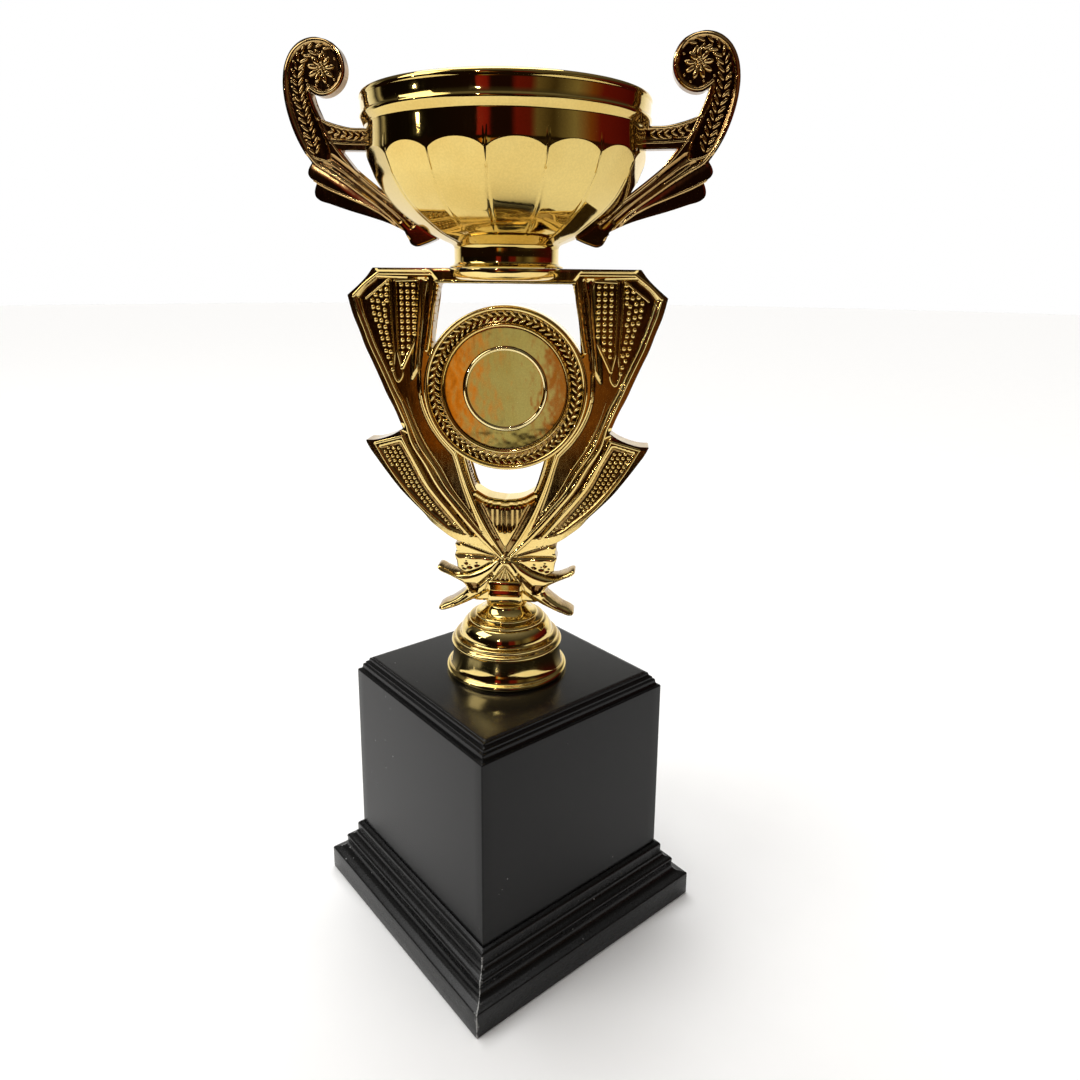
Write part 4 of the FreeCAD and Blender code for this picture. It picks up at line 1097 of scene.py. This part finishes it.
th = np.linspace(0, math.pi, 7)[1:-1]
ph = np.arange(10) * 2 * math.pi / 10
S_V = np.vstack([[0, 0, 1.0]] + [[[math.sin(t) * math.cos(p), math.sin(t) * math.sin(p), math.cos(t)] for p in ph] for t in th] + [[[0, 0, -1.0]]]) if False else \
    np.array([[0, 0, 1.0]] + [[math.sin(t) * math.cos(p), math.sin(t) * math.sin(p), math.cos(t)] for t in th for p in ph] + [[0, 0, -1.0]])
S_Q = grid_faces(5, 10, wrap_c=True, base=1, flip=True)[:, ::-1]
S_T = np.array([[0, 1 + (i + 1) % 10, 1 + i] for i in range(10)])
S_B = np.array([[51, 41 + i, 41 + (i + 1) % 10] for i in range(10)])


def ball(bag, c, r, basis=None):
    v = S_V * np.asarray(r, float)
    if basis is not None:
        v = v @ np.asarray(basis).T
    bag.add(v + np.asarray(c, float), [S_Q, S_T, S_B])


pearls = Bag()
for x, z in P1 + P2:
    ball(pearls, (x, -(float(surf(x, z)) + 0.22), z), (0.98, 0.9, 0.98))
for x, z in PF:
    ball(pearls, (x, -(float(surf(x, z)) + 0.15), z), (0.82, 0.78, 0.82))
pearls.mirror_x()
pearls.mirror_y()
pl = pearls.build("riser_pearls", GOLD_RISER, None)
piece(pl, "gold_plate_riser", "riser")

# medallion ring turned about Y, with two rows of slanted leaves
NM = 168


def turned_y(profile, n=NM, close=True, zc=232.8):
    p = np.asarray(profile, float)
    th_ = np.arange(n) * 2 * math.pi / n
    v = np.stack([p[:, 0][:, None] * np.cos(th_), p[:, 1][:, None] * np.ones(n), zc + p[:, 0][:, None] * np.sin(th_)], -1).reshape(-1, 3)
    return v, [grid_faces(len(p), n, wrap_c=True, wrap_r=close)]


half = [(33.0, 0.0), (33.4, 0.0), (33.4, 5.3), (33.3, 5.75), (33.0, 6.05), (32.6, 6.1), (32.2, 6.1), (31.75, 5.95), (31.45, 5.6), (31.35, 5.1), (31.2, 4.75), (30.6, 4.55), (29.0, 4.5),
        (27.4, 4.55), (26.75, 4.75), (26.55, 5.15), (26.45, 5.7), (26.2, 6.05), (25.8, 6.15), (25.4, 6.0), (25.2, 5.6), (25.15, 4.6)]
ring_prof = [(r, -y) for r, y in half[1:]] + [(r, y) for r, y in half[:1:-1]]
mv, mf = turned_y(ring_prof)
# painted shade in the sunk channel between the ring's two rims
cavm = np.repeat([1.0 if abs(y) < 4.8 and r < 31.3 else 0.0 for r, y in ring_prof], NM)
med = mesh_object("riser_medallion_ring", mv, mf, GOLD_RISER, 40, {"cav": cavm})
piece(med, "gold_plate_riser", "riser")
seat_half = [(25.3, 4.78), (25.0, 4.83), (24.6, 4.84), (24.2, 4.84), (20.0, 4.84), (17.5, 4.84), (17.1, 4.84), (16.95, 4.86), (16.75, 4.97), (16.55, 5.12), (16.3, 5.18), (16.05, 5.12), (15.85, 4.97), (15.65, 4.86), (15.5, 4.84), (15.1, 4.84), (9.0, 4.84), (0.02, 4.84)]
seat_prof = [(r, -y) for r, y in seat_half] + [(r, y) for r, y in seat_half[::-1]]
mv, mf = turned_y(seat_prof, close=True)
seat = mesh_object("riser_medallion_seat", mv, mf, GOLD_SEAT, 45, {"cav": np.zeros(len(mv))})
piece(seat, "gold_plate_riser", "riser")

leaves = Bag()
NLF = 62
for k in range(NLF):
    a = 2 * math.pi * k / NLF
    for rr_, off, sl in ((27.95, 0.0, 1), (30.15, 0.5, -1)):
        aa = a + off * 2 * math.pi / NLF
        er = np.array([math.cos(aa), 0, math.sin(aa)])
        et = np.array([-math.sin(aa), 0, math.cos(aa)])
        ey = np.array([0, -1.0, 0])
        ca, sa = math.cos(math.radians(42)), math.sin(math.radians(42))
        long_ = et * ca * -1 + er * sa * sl
        wide = np.cross(ey, long_)
        lift = ey + 0.25 * wide
        lift /= np.linalg.norm(lift)
        ball(leaves, er * rr_ + np.array([0, -4.75, 232.8]), (1.62, 0.56, 0.72), np.stack([long_, wide, lift], -1))
leaves.mirror_y()
lf = leaves.build("riser_leaf_band", GOLD_RISER, None)
piece(lf, "gold_plate_riser", "riser")

# bowl seat pad and neck
padp = [(3.0, 280.38), (22.1, 280.38), (22.45, 280.25), (22.55, 279.9), (22.5, 278.9), (22.2, 277.9), (21.5, 276.9), (20.3, 276.2), (18.2, 275.85), (3.0, 275.8)]
pv, pf = lathe(padp, 144)
pad = mesh_object("riser_seat_pad", pv, [pf[0][:, ::-1]], GOLD_RISER, 40, {"cav": np.zeros(len(pv))})
piece(pad, "gold_plate_riser", "riser")


def rounded_stack(rows, rc, nc=6):
    out = []
    for hx_, hy_, z_ in rows:
        r = min(rc, hx_ * 0.6, hy_ * 0.6)
        for k, (sx, sy) in enumerate([(1, 1), (-1, 1), (-1, -1), (1, -1)]):
            for t in np.linspace(k * 90, k * 90 + 90, nc):
                out.append((sx * (hx_ - r) + r * math.cos(math.radians(t)), sy * (hy_ - r) + r * math.sin(math.radians(t)), z_))
    return np.array(out), 4 * nc


nrows = [(3.2, 3.2, 138.7), (5.6, 5.2, 139.0), (6.3, 5.9, 139.6), (6.9, 6.5, 140.6), (7.25, 6.9, 141.9), (7.4, 7.1, 143.4), (7.3, 7.0, 144.8), (7.0, 6.7, 146.0), (6.85, 6.5, 146.6),
         (7.45, 6.95, 147.0), (7.5, 6.8, 148.6), (7.45, 6.62, 150.0), (7.3, 6.45, 150.5), (6.9, 6.1, 150.75), (3.2, 3.2, 150.75)]
nv, nc_ = rounded_stack(nrows, 1.5)
neck = mesh_object("riser_neck", nv, [grid_faces(len(nrows), nc_, wrap_c=True, wrap_r=True)], GOLD_RISER, 45, {"cav": np.zeros(len(nv))})
piece(neck, "gold_plate_riser", "riser")

# =====================================================================================
# scroll handles: relief plates with leaf bands, alike on both faces
# =====================================================================================
H_OUT = path([(69.1, 364.9), (73.8, 365.8), (78.7, 364.7), (82.8, 361.6), (85.5, 357.0), (86.85, 350.4), (86.6, 344.0), (85.2, 337.0), (82.9, 330.4), (79.5, 323.9), (77.0, 320.3)],
             [(77.0, 320.3), (78.5, 317.6), (78.75, 316.3), (78.2, 315.0), (75.4, 312.9)],
             [(75.4, 312.9), (76.2, 310.9), (76.55, 309.1), (76.2, 307.5), (75.2, 306.5), (70.0, 304.6), (62.0, 302.0), (54.0, 299.7), (48.0, 297.8), (42.8, 295.6), (40.4, 294.4)],
             [(40.4, 294.4), (38.9, 291.2), (37.8, 289.4), (36.2, 288.6), (32.1, 289.5), (27.5, 291.4)], [(27.5, 291.4), (27.5, 293.5)],
             [(27.5, 293.5), (34.0, 298.5), (41.8, 304.0), (47.7, 307.7), (52.7, 311.4), (57.4, 315.5), (61.2, 320.0), (65.0, 324.8)],
             [(65.0, 324.8), (50.5, 324.6)], [(50.5, 324.6), (50.5, 333.0)],
             [(50.5, 333.0), (54.2, 333.0), (60.4, 333.1), (66.0, 334.3), (72.0, 336.2)],
             [(72.0, 336.2), (74.2, 340.3), (75.4, 343.6), (76.0, 346.3)],
             [(76.0, 346.3), (73.6, 344.9), (71.0, 344.6), (68.4, 345.2), (65.9, 346.6), (63.4, 349.4), (62.1, 353.2), (62.4, 357.4), (63.9, 360.9), (66.2, 363.4), (69.1, 364.9)], step=0.7)
hx_ = np.arange(26.8, 88.2, 0.40)
hz_ = np.arange(287.4, 367.4, 0.40)
HX, HZ = np.meshgrid(hx_, hz_, indexing="ij")
cope = np.where(HZ > 324.0, 52.6, corner_r(HZ) - 0.9)
s_h = np.maximum(poly_sdf(HX, HZ, H_OUT), cope - HX)
dh = np.clip(-s_h, 0, None)


def hd(pts):
    return seg_dist(HX, HZ, catmull(pts, 0.8))[0]


TLINE = [(77.58, 323.25), (74.99, 319.9), (69.34, 316.5), (63.45, 312.84), (57.57, 308.71), (50.2, 303.58), (43.61, 297.5), (41.2, 295.2)]
B1LINE = [(76.4, 313.5), (70.64, 310.6), (62.68, 307.3), (56.21, 304.66), (50.26, 301.6), (45.2, 298.0)]
Z1 = TLINE + [(38, 291), (38, 280), (92, 280), (92, 323)]
Z2 = [(92, 313.4)] + B1LINE + [(38, 290), (38, 280), (92, 280)]
s1, s2 = poly_sdf(HX, HZ, Z1), poly_sdf(HX, HZ, Z2)
TH = 2.5 - 0.55 * smooth01((0.1 - s1) / 0.7) - 0.45 * smooth01((0.1 - s2) / 0.7)
# painted shade mask of the handle's recesses
handle_shade = np.zeros_like(TH)
# leaf bed of stem and volute
BUD = [(77.1, 322.77), (73.14, 321.27), (69.6, 321.0), (69.4, 323.2), (70.2, 327.0)]
bed_zone = poly_sdf(HX, HZ, path([(79.2, 322.8), (73.14, 320.9), (69.2, 320.6)], [(69.2, 320.6), (69.2, 323.6), (71.0, 329.0), (73.4, 334.8), (75.8, 341.0), (77.3, 346.9)],
                                 [(77.3, 346.9), (73, 345), (60, 345), (58, 368), (90, 368), (90, 330), (79.2, 322.8)], step=1.5))
bed = smooth01((dh - 1.45) / 0.6) * smooth01((0.3 - bed_zone) / 0.7)
ARMP = [(73.4, 336.2), (66.0, 332.9), (60.4, 331.9), (50.5, 331.8), (50.5, 328.4), (61.0, 328.6), (68.9, 329.1), (71.2, 331.6)]
s_arm = poly_sdf(HX, HZ, ARMP)
bed = np.maximum(bed, smooth01((0.2 - s_arm) / 0.6) * (dh > 0.4))
TH = TH - 0.75 * bed
# the leaf bed is painted with shade
handle_shade = np.maximum(handle_shade, bed)
# long channels in the tail
CH1 = [(68.6, 321.9), (62.9, 317.6), (56.2, 312.6), (49.4, 307.6), (43.2, 302.4), (37.6, 297.0)]
CH2 = [(73.4, 320.2), (67.4, 317.2), (61.2, 313.2), (54.8, 308.4), (48.4, 303.4), (42.6, 298.4)]
for pts, w_, dp in ((CH1, 1.25, 0.75), (CH2, 0.95, 0.75)):
    g = np.exp(-(hd(pts) / w_) ** 4)
    g = g * (s1 > 0.2) * smooth01((dh - 0.7) / 0.5)
    TH = TH - dp * g
    # the channels are painted with shade
    handle_shade = np.maximum(handle_shade, g)
# each blade falls away from its upper neighbour
TH = np.where((s1 < -0.3) & (s2 > 0.2), TH - 0.30 * smooth01((3.4 + s1) / 3.4), TH)
# both blade zones are painted with shade
handle_shade = np.where((s1 < -0.1) | (s2 < -0.1), np.maximum(handle_shade, 0.55), handle_shade)
loss = 0.12 * np.clip(1 - dh / 0.5, 0, 1)
TH = np.maximum(TH - loss, 0.9)
hv, hf, hcv = relief_plate(s_h, TH, handle_shade, hx_, hz_, np.maximum(TH + loss - 0.12, 0.8))
hplate = Bag()
hplate.add(hv, hf, hcv)

hb = Bag()


def hbead(pts, r, y, step=0.7, fade=None, corner=False, flat=0.6):
    bead(hb, pts, r * 0.82, y, step=step, fade=fade, corner=corner, flat=flat, sides=8)


RIM_IN = path([(66.6, 362.3), (69.3, 364.0), (73.8, 364.7), (78.2, 363.6), (82.0, 360.8), (84.5, 356.6), (85.75, 350.4), (85.5, 344.0), (84.1, 337.2), (81.8, 330.9), (78.6, 324.6), (76.4, 321.6),
                (74.6, 319.6), (69.34, 316.5), (63.45, 312.84), (57.57, 308.71), (50.2, 303.58), (43.9, 297.9), (41.9, 295.7)], step=0.8)
hbead(RIM_IN, 0.78, 2.42, corner=True, fade=[0.7, 1, 1, 1, 1, 1, 0.95, 0.8, 0.65, 0.6, 0.6, 0.6, 0.4])
hbead([(66.6, 362.3), (64.9, 360.2), (63.5, 357.0), (63.2, 353.4), (64.3, 350.2), (66.6, 347.5), (69.6, 346.0), (72.6, 345.9), (75.0, 347.1), (77.0, 348.7)], 0.62, 2.42)
hbead([(76.4, 346.4), (74.9, 341.4), (73.2, 337.4), (71.1, 332.4), (68.7, 328.2), (66.2, 324.6), (61.6, 319.3), (55.3, 313.9), (49.0, 309.0), (43.1, 304.5), (38.4, 300.4)], 0.55, 2.4,
      fade=[0.8, 1, 1, 1, 1, 1, 1, 1, 0.9, 0.7])
hbead([(73.6, 336.4), (70.2, 334.9), (65.5, 333.4), (60.6, 332.5), (53.4, 332.35)], 0.5, 2.4)
hbead([(69.0, 327.7), (61.9, 327.2), (53.2, 327.0)], 0.5, 2.35)
hbead([(66.6, 325.6), (61.9, 325.3), (53.4, 325.25)], 0.4, 2.3)
hbead(BUD, 0.45, 2.35)
hbead([(70.0, 318.8), (65.4, 315.6), (60.6, 312.2)], 0.42, 2.35, fade=[0.6, 1, 0.5])
hbead([(65.8, 318.4), (60.2, 314.0), (52.4, 308.2), (45.1, 302.6), (40.2, 298.4)], 0.45, 2.35, fade=[0.5, 1, 1, 0.5])
hbead(B1LINE, 0.5, 1.98, fade=[0.8, 1, 1, 0.9, 0.6])

hl = Bag()


def leaf(c, direction, L_, W_, H_, y):
    d3 = np.array([direction[0], 0, direction[1]], float)
    d3 /= np.linalg.norm(d3)
    ey = np.array([0, -1.0, 0])
    wd = np.cross(ey, d3)
    up3 = ey + 0.22 * wd
    up3 /= np.linalg.norm(up3)
    ball(hl, (c[0], -y, c[1]), (L_, W_, H_), np.stack([d3, wd, up3], -1))


def leaf_row(pts, pitch, off, L_, W_, ang, y, start=0.6):
    p = catmull(pts, 0.25)
    s = np.concatenate([[0], np.cumsum(np.linalg.norm(np.diff(p, axis=0), axis=1))])
    t = np.gradient(p, axis=0)
    t /= np.linalg.norm(t, axis=1, keepdims=True)
    for k, u_ in enumerate(np.arange(start, s[-1] - 0.4, pitch)):
        x, z = np.interp(u_, s, p[:, 0]), np.interp(u_, s, p[:, 1])
        tx, tz = np.interp(u_, s, t[:, 0]), np.interp(u_, s, t[:, 1])
        for sd_ in (-1, 1):
            a = math.radians(ang) * sd_
            dx, dz = tx * math.cos(a) - tz * math.sin(a), tx * math.sin(a) + tz * math.cos(a)
            leaf((x - tz * off * sd_ + 0.0, z + tx * off * sd_), (dx, dz), L_, W_, 0.62, y)


leaf_row([(75.6, 324.6), (76.4, 328.5), (78.0, 334.2), (79.5, 339.6), (80.6, 344.4), (81.2, 349.2), (81.0, 353.6), (79.9, 357.4), (77.8, 360.2), (74.9, 361.7), (71.9, 361.6), (68.9, 360.4)],
         2.85, 1.45, 2.05, 0.66, 36, 1.95)
leaf_row([(55.6, 330.2), (60.4, 330.4), (65.0, 331.2), (69.4, 332.6)], 2.6, 0.85, 1.5, 0.56, 36, 1.95, start=0.2)
RC = (71.6, 354.6)
for k in range(9):
    a = 2 * math.pi * k / 9 + 0.2
    leaf((RC[0] + 3.5 * math.cos(a), RC[1] + 3.5 * math.sin(a)), (math.cos(a), math.sin(a)), 2.15, 1.0, 0.85, 1.95)
for k in range(6):
    a = 2 * math.pi * k / 6
    ball(hl, (RC[0] + 1.35 * math.cos(a), -2.15, RC[1] + 1.35 * math.sin(a)), (0.62, 0.62, 0.62))
ball(hl, (RC[0], -2.3, RC[1]), (0.85, 0.75, 0.85))
for x, z in ((83.3, 350.1), (82.9, 343.7), (81.0, 336.4), (77.0, 337.4), (79.3, 330.2), (73.6, 329.2), (66.4, 350.6), (68.8, 348.4), (73.6, 348.6), (66.0, 358.0), (78.6, 354.6), (77.4, 350.4),
             (62.4, 329.2), (66.8, 329.9), (58.2, 331.4)):
    ball(hl, (x, -2.0, z), (0.55, 0.55, 0.55))

for side, sx in (("right", 1), ("left", -1)):
    for bag_, nm, ang_s in ((hplate, "plate", 48), (hb, "beads", 60), (hl, "leaves", None)):
        m_ = Bag()
        m_.v, m_.f, m_.n, m_.a = [v.copy() for v in bag_.v], [f.copy() for f in bag_.f], bag_.n, list(bag_.a)
        if bag_ is not hplate:
            m_.mirror_y()
        if sx < 0:
            for v in m_.v:
                v[:, 0] *= -1
            m_.f = [f[:, ::-1] for f in m_.f]
        o = m_.build("handle_%s_%s" % (side, nm), GOLD_HANDLE, ang_s)
        piece(o, "gold_plate_handle", "handle_" + side)


# =====================================================================================
# carried-over fasteners
# =====================================================================================
for o in bpy.data.objects:
    if o.type == "MESH" and o.name.split(".")[0] in ("skirt_screws", "tie_rod", "tie_rod_washer", "tie_rod_nut", "riser_nut", "handle_screws", "bowl_bolt", "bowl_washer", "bowl_nut"):
        if o.material_slots:
            for s in o.material_slots:
                s.material = ZINC
        else:
            pass

# =====================================================================================
# stage, lights, camera
# =====================================================================================
floor_mat, nt, b, tc = base_mat("stage_floor")
b.inputs["Base Color"].default_value = (0.90, 0.90, 0.895, 1)
b.inputs["Roughness"].default_value = 0.9
b.inputs["Specular IOR Level"].default_value = 0.1
nf = N(nt, "ShaderNodeTexNoise", Scale=40.0, Detail=3.0)
nt.links.new(tc.outputs["Object"], nf.inputs["Vector"])
rf = ramp(nt, [(0.0, (0.93, 0.93, 0.93)), (1.0, (0.955, 0.955, 0.955))], nf.outputs["Fac"])
nt.links.new(rf.outputs[0], b.inputs["Base Color"])
az_ = np.radians(np.concatenate([np.linspace(-114, 124, 60), [124.5], np.linspace(126, 245.5, 31)]))
rad_ = np.concatenate([560.0 + 640.0 * smooth01((np.abs(np.degrees(az_[:60])) - 20) / 38.0), [5200.0], np.full(31, 6500.0)])
fv = np.vstack([[0, 0, 0], np.stack([rad_ * np.sin(az_), -rad_ * np.cos(az_), 0 * az_], -1)])
nfl = len(az_)
ff = np.array([[0, 1 + i_, 1 + (i_ + 1) % nfl] for i_ in range(nfl)])
floor = mesh_object("stage_floor", fv, [ff], floor_mat)


def area_light(name, loc, target, size, power, color=(1, 1, 1), size_y=None):
    d = bpy.data.lights.new(name, "AREA")
    d.energy = power
    d.color = color
    d.size = size
    if size_y:
        d.shape = "RECTANGLE"
        d.size_y = size_y
    o = bpy.data.objects.new(name, d)
    o.location = loc
    o.rotation_mode = "QUATERNION"
    o.rotation_quaternion = (Vector(target) - Vector(loc)).to_track_quat("-Z", "Y")
    bpy.context.scene.collection.objects.link(o)
    return o


area_light("key_left", (-1.25, -0.55, 1.25), (0, 0, 0.15), 0.9, 9.0, (1.0, 0.99, 0.97))
sd = bpy.data.lights.new("ceiling_sun", "SUN")
sd.energy = 2.75
sd.angle = math.radians(50)
so = bpy.data.objects.new("ceiling_sun", sd)
so.rotation_mode = "QUATERNION"
so.rotation_quaternion = Vector((0.16, -0.22, -1.0)).to_track_quat("-Z", "Y")
bpy.context.scene.collection.objects.link(so)
area_light("spark_front", (-0.42, -1.75, 0.95), (0, 0, 0.2), 0.07, 1.4, (1.0, 0.98, 0.95))
area_light("spark_left", (-1.5, -0.75, 0.62), (0, 0, 0.25), 0.05, 0.7, (1.0, 0.98, 0.95))

world = bpy.data.worlds.new("studio")
bpy.context.scene.world = world
world.use_nodes = True
nt = world.node_tree
nt.nodes.clear()
L = nt.links.new
wo = nt.nodes.new("ShaderNodeOutputWorld")
tcw = nt.nodes.new("ShaderNodeTexCoord")
sep = nt.nodes.new("ShaderNodeSeparateXYZ")
L(tcw.outputs["Generated"], sep.inputs[0])


def wmath(op, a, b_=None, c=None, clamp=False):
    n = nt.nodes.new("ShaderNodeMath")
    n.operation = op
    n.use_clamp = clamp
    for i, v in enumerate((a, b_, c)):
        if v is None:
            continue
        if isinstance(v, (int, float)):
            n.inputs[i].default_value = v
        else:
            L(v, n.inputs[i])
    return n.outputs[0]


ax, ay, az = sep.outputs[0], sep.outputs[1], sep.outputs[2]
# azimuth from the front (-Y): 0 at the front, -1 full left behind, +1 full right behind
nay = wmath("MULTIPLY", ay, -1.0)
azi = wmath("ARCTAN2", ax, nay)                 # -pi..pi, 0 = front, + = right
azn = wmath("MULTIPLY_ADD", azi, 1.0 / (2 * math.pi), 0.5)


def deg_pos(d):
    return 0.5 + d / 360.0


DARK = (0.005, 0.0028, 0.0016)
WHITE, WHITE2 = (1.25, 1.24, 1.20), (0.85, 0.84, 0.80)
stops = [(0.0, WHITE), (deg_pos(-126), WHITE), (deg_pos(-116), WHITE2), (deg_pos(-110), DARK),
         (deg_pos(-104), (0.45, 0.43, 0.37)), (deg_pos(-101), DARK), (deg_pos(-60), (0.005, 0.0035, 0.002)), (deg_pos(-15.0), (0.010, 0.004, 0.0025)),
         (deg_pos(-14.0), (0.26, 0.018, 0.014)), (deg_pos(-6.5), (0.20, 0.012, 0.010)), (deg_pos(-4), (0.012, 0.004, 0.003)), (deg_pos(11), (0.012, 0.004, 0.003)), (deg_pos(15), (0.13, 0.010, 0.007)), (deg_pos(26), (0.11, 0.010, 0.007)),
         (deg_pos(31), (0.13, 0.10, 0.05)), (deg_pos(44), (0.05, 0.035, 0.015)), (deg_pos(62), (0.22, 0.19, 0.11)), (deg_pos(76), (0.18, 0.06, 0.015)),
         (deg_pos(86), (0.13, 0.010, 0.008)), (deg_pos(124), (0.07, 0.004, 0.004)), (deg_pos(133), WHITE2), (deg_pos(146), WHITE), (1.0, WHITE)]
horizon = ramp(nt, stops, azn)
# below the horizon: dark room beyond the table edge, an olive and amber patch straight ahead
BROWN = (0.010, 0.0045, 0.002)
low = [(0.0, WHITE), (deg_pos(-126), WHITE), (deg_pos(-116), WHITE2), (deg_pos(-110), BROWN), (deg_pos(-60), BROWN), (deg_pos(-20), BROWN), (deg_pos(-13.4), (0.02, 0.007, 0.002)),
       (deg_pos(-12.2), (0.68, 0.22, 0.015)), (deg_pos(-10.3), (0.66, 0.22, 0.018)), (deg_pos(-9.5), (0.38, 0.37, 0.20)), (deg_pos(-5.6), (0.42, 0.39, 0.21)),
       (deg_pos(-4.9), (0.22, 0.03, 0.02)), (deg_pos(-3.6), (0.40, 0.17, 0.03)), (deg_pos(-0.5), (0.16, 0.055, 0.012)), (deg_pos(3), (0.05, 0.016, 0.006)), (deg_pos(12), BROWN),
       (deg_pos(60), (0.05, 0.035, 0.02)), (deg_pos(86), (0.06, 0.008, 0.006)), (deg_pos(124), (0.05, 0.004, 0.004)), (deg_pos(133), WHITE2), (deg_pos(146), WHITE), (1.0, WHITE)]
below = ramp(nt, low, azn)
# overhead: soft grey ceiling, brighter towards the zenith
elev = wmath("ARCSINE", az)
up = wmath("MULTIPLY", elev, 2 / math.pi)
top = ramp(nt, [(0.0, (0.05, 0.045, 0.035)), (0.30, (0.05, 0.045, 0.035)), (0.55, (0.14, 0.13, 0.11)), (1.0, (0.32, 0.31, 0.29))], up)
mixf = nt.nodes.new("ShaderNodeMapRange")
mixf.inputs["From Min"].default_value = 0.27
mixf.inputs["From Max"].default_value = 0.50
L(az, mixf.inputs["Value"])
mixw = nt.nodes.new("ShaderNodeMix")
mixw.data_type = "RGBA"
L(mixf.outputs[0], mixw.inputs[0])
mixd = nt.nodes.new("ShaderNodeMapRange")
mixd.inputs["From Min"].default_value = 0.03
mixd.inputs["From Max"].default_value = 0.07
L(az, mixd.inputs["Value"])
mixl = nt.nodes.new("ShaderNodeMix")
mixl.data_type = "RGBA"
L(mixd.outputs[0], mixl.inputs[0])
deep = ramp(nt, [(0.0, WHITE), (deg_pos(-126), WHITE), (deg_pos(-116), WHITE2), (deg_pos(-110), BROWN), (deg_pos(-20), BROWN), (deg_pos(60), (0.016, 0.010, 0.005)), (deg_pos(124), (0.05, 0.004, 0.004)), (deg_pos(133), WHITE2), (deg_pos(146), WHITE), (1.0, WHITE)], azn)
mixb = nt.nodes.new("ShaderNodeMapRange")
mixb.inputs["From Min"].default_value = -0.225
mixb.inputs["From Max"].default_value = -0.200
L(az, mixb.inputs["Value"])
mixc = nt.nodes.new("ShaderNodeMix")
mixc.data_type = "RGBA"
L(mixb.outputs[0], mixc.inputs[0])
L(deep.outputs[0], mixc.inputs[6])
mixe = nt.nodes.new("ShaderNodeMapRange")
mixe.inputs["From Min"].default_value = -0.062
mixe.inputs["From Max"].default_value = -0.042
L(az, mixe.inputs["Value"])
mixg = nt.nodes.new("ShaderNodeMix")
mixg.data_type = "RGBA"
L(mixe.outputs[0], mixg.inputs[0])
L(below.outputs[0], mixg.inputs[6])
L(deep.outputs[0], mixg.inputs[7])
L(mixg.outputs[2], mixc.inputs[7])
L(mixc.outputs[2], mixl.inputs[6])
L(horizon.outputs[0], mixl.inputs[7])
L(mixl.outputs[2], mixw.inputs[6])
L(top.outputs[0], mixw.inputs[7])
bg = nt.nodes.new("ShaderNodeBackground")
L(mixw.outputs[2], bg.inputs[0])
bgc = nt.nodes.new("ShaderNodeBackground")
bgc.inputs[0].default_value = (1.0, 1.0, 1.0, 1)
lp = nt.nodes.new("ShaderNodeLightPath")
ms = nt.nodes.new("ShaderNodeMixShader")
L(lp.outputs["Is Camera Ray"], ms.inputs[0])
L(bg.outputs[0], ms.inputs[1])
L(bgc.outputs[0], ms.inputs[2])
L(ms.outputs[0], wo.inputs[0])

cam_d = bpy.data.cameras.new("camera")
cam = bpy.data.objects.new("camera", cam_d)
bpy.context.scene.collection.objects.link(cam)
YAW, PITCH, ROLL = math.radians(5.334), math.radians(-12.444), math.radians(0.5)
fw = Vector((-math.sin(YAW) * math.cos(PITCH), math.cos(YAW) * math.cos(PITCH), math.sin(PITCH)))
rt = Vector((math.cos(YAW), math.sin(YAW), 0))
upv = rt.cross(fw)
r2 = math.cos(ROLL) * rt + math.sin(ROLL) * upv
u2 = -math.sin(ROLL) * rt + math.cos(ROLL) * upv
cam.matrix_world = Matrix((
    (r2.x, u2.x, -fw.x, 0.04496),
    (r2.y, u2.y, -fw.y, -0.33238),
    (r2.z, u2.z, -fw.z, 0.28057),
    (0, 0, 0, 1)))
cam_d.sensor_width = 36.0
cam_d.lens = 36.0 * 823.79 / 1080.0
cam_d.shift_x = 0.0
cam_d.shift_y = -90.0 / 1080.0
cam_d.clip_start, cam_d.clip_end = 0.01, 50.0
bpy.context.scene.camera = cam
bpy.context.scene.view_settings.view_transform = "Standard"
bpy.context.scene.view_settings.look = "None"
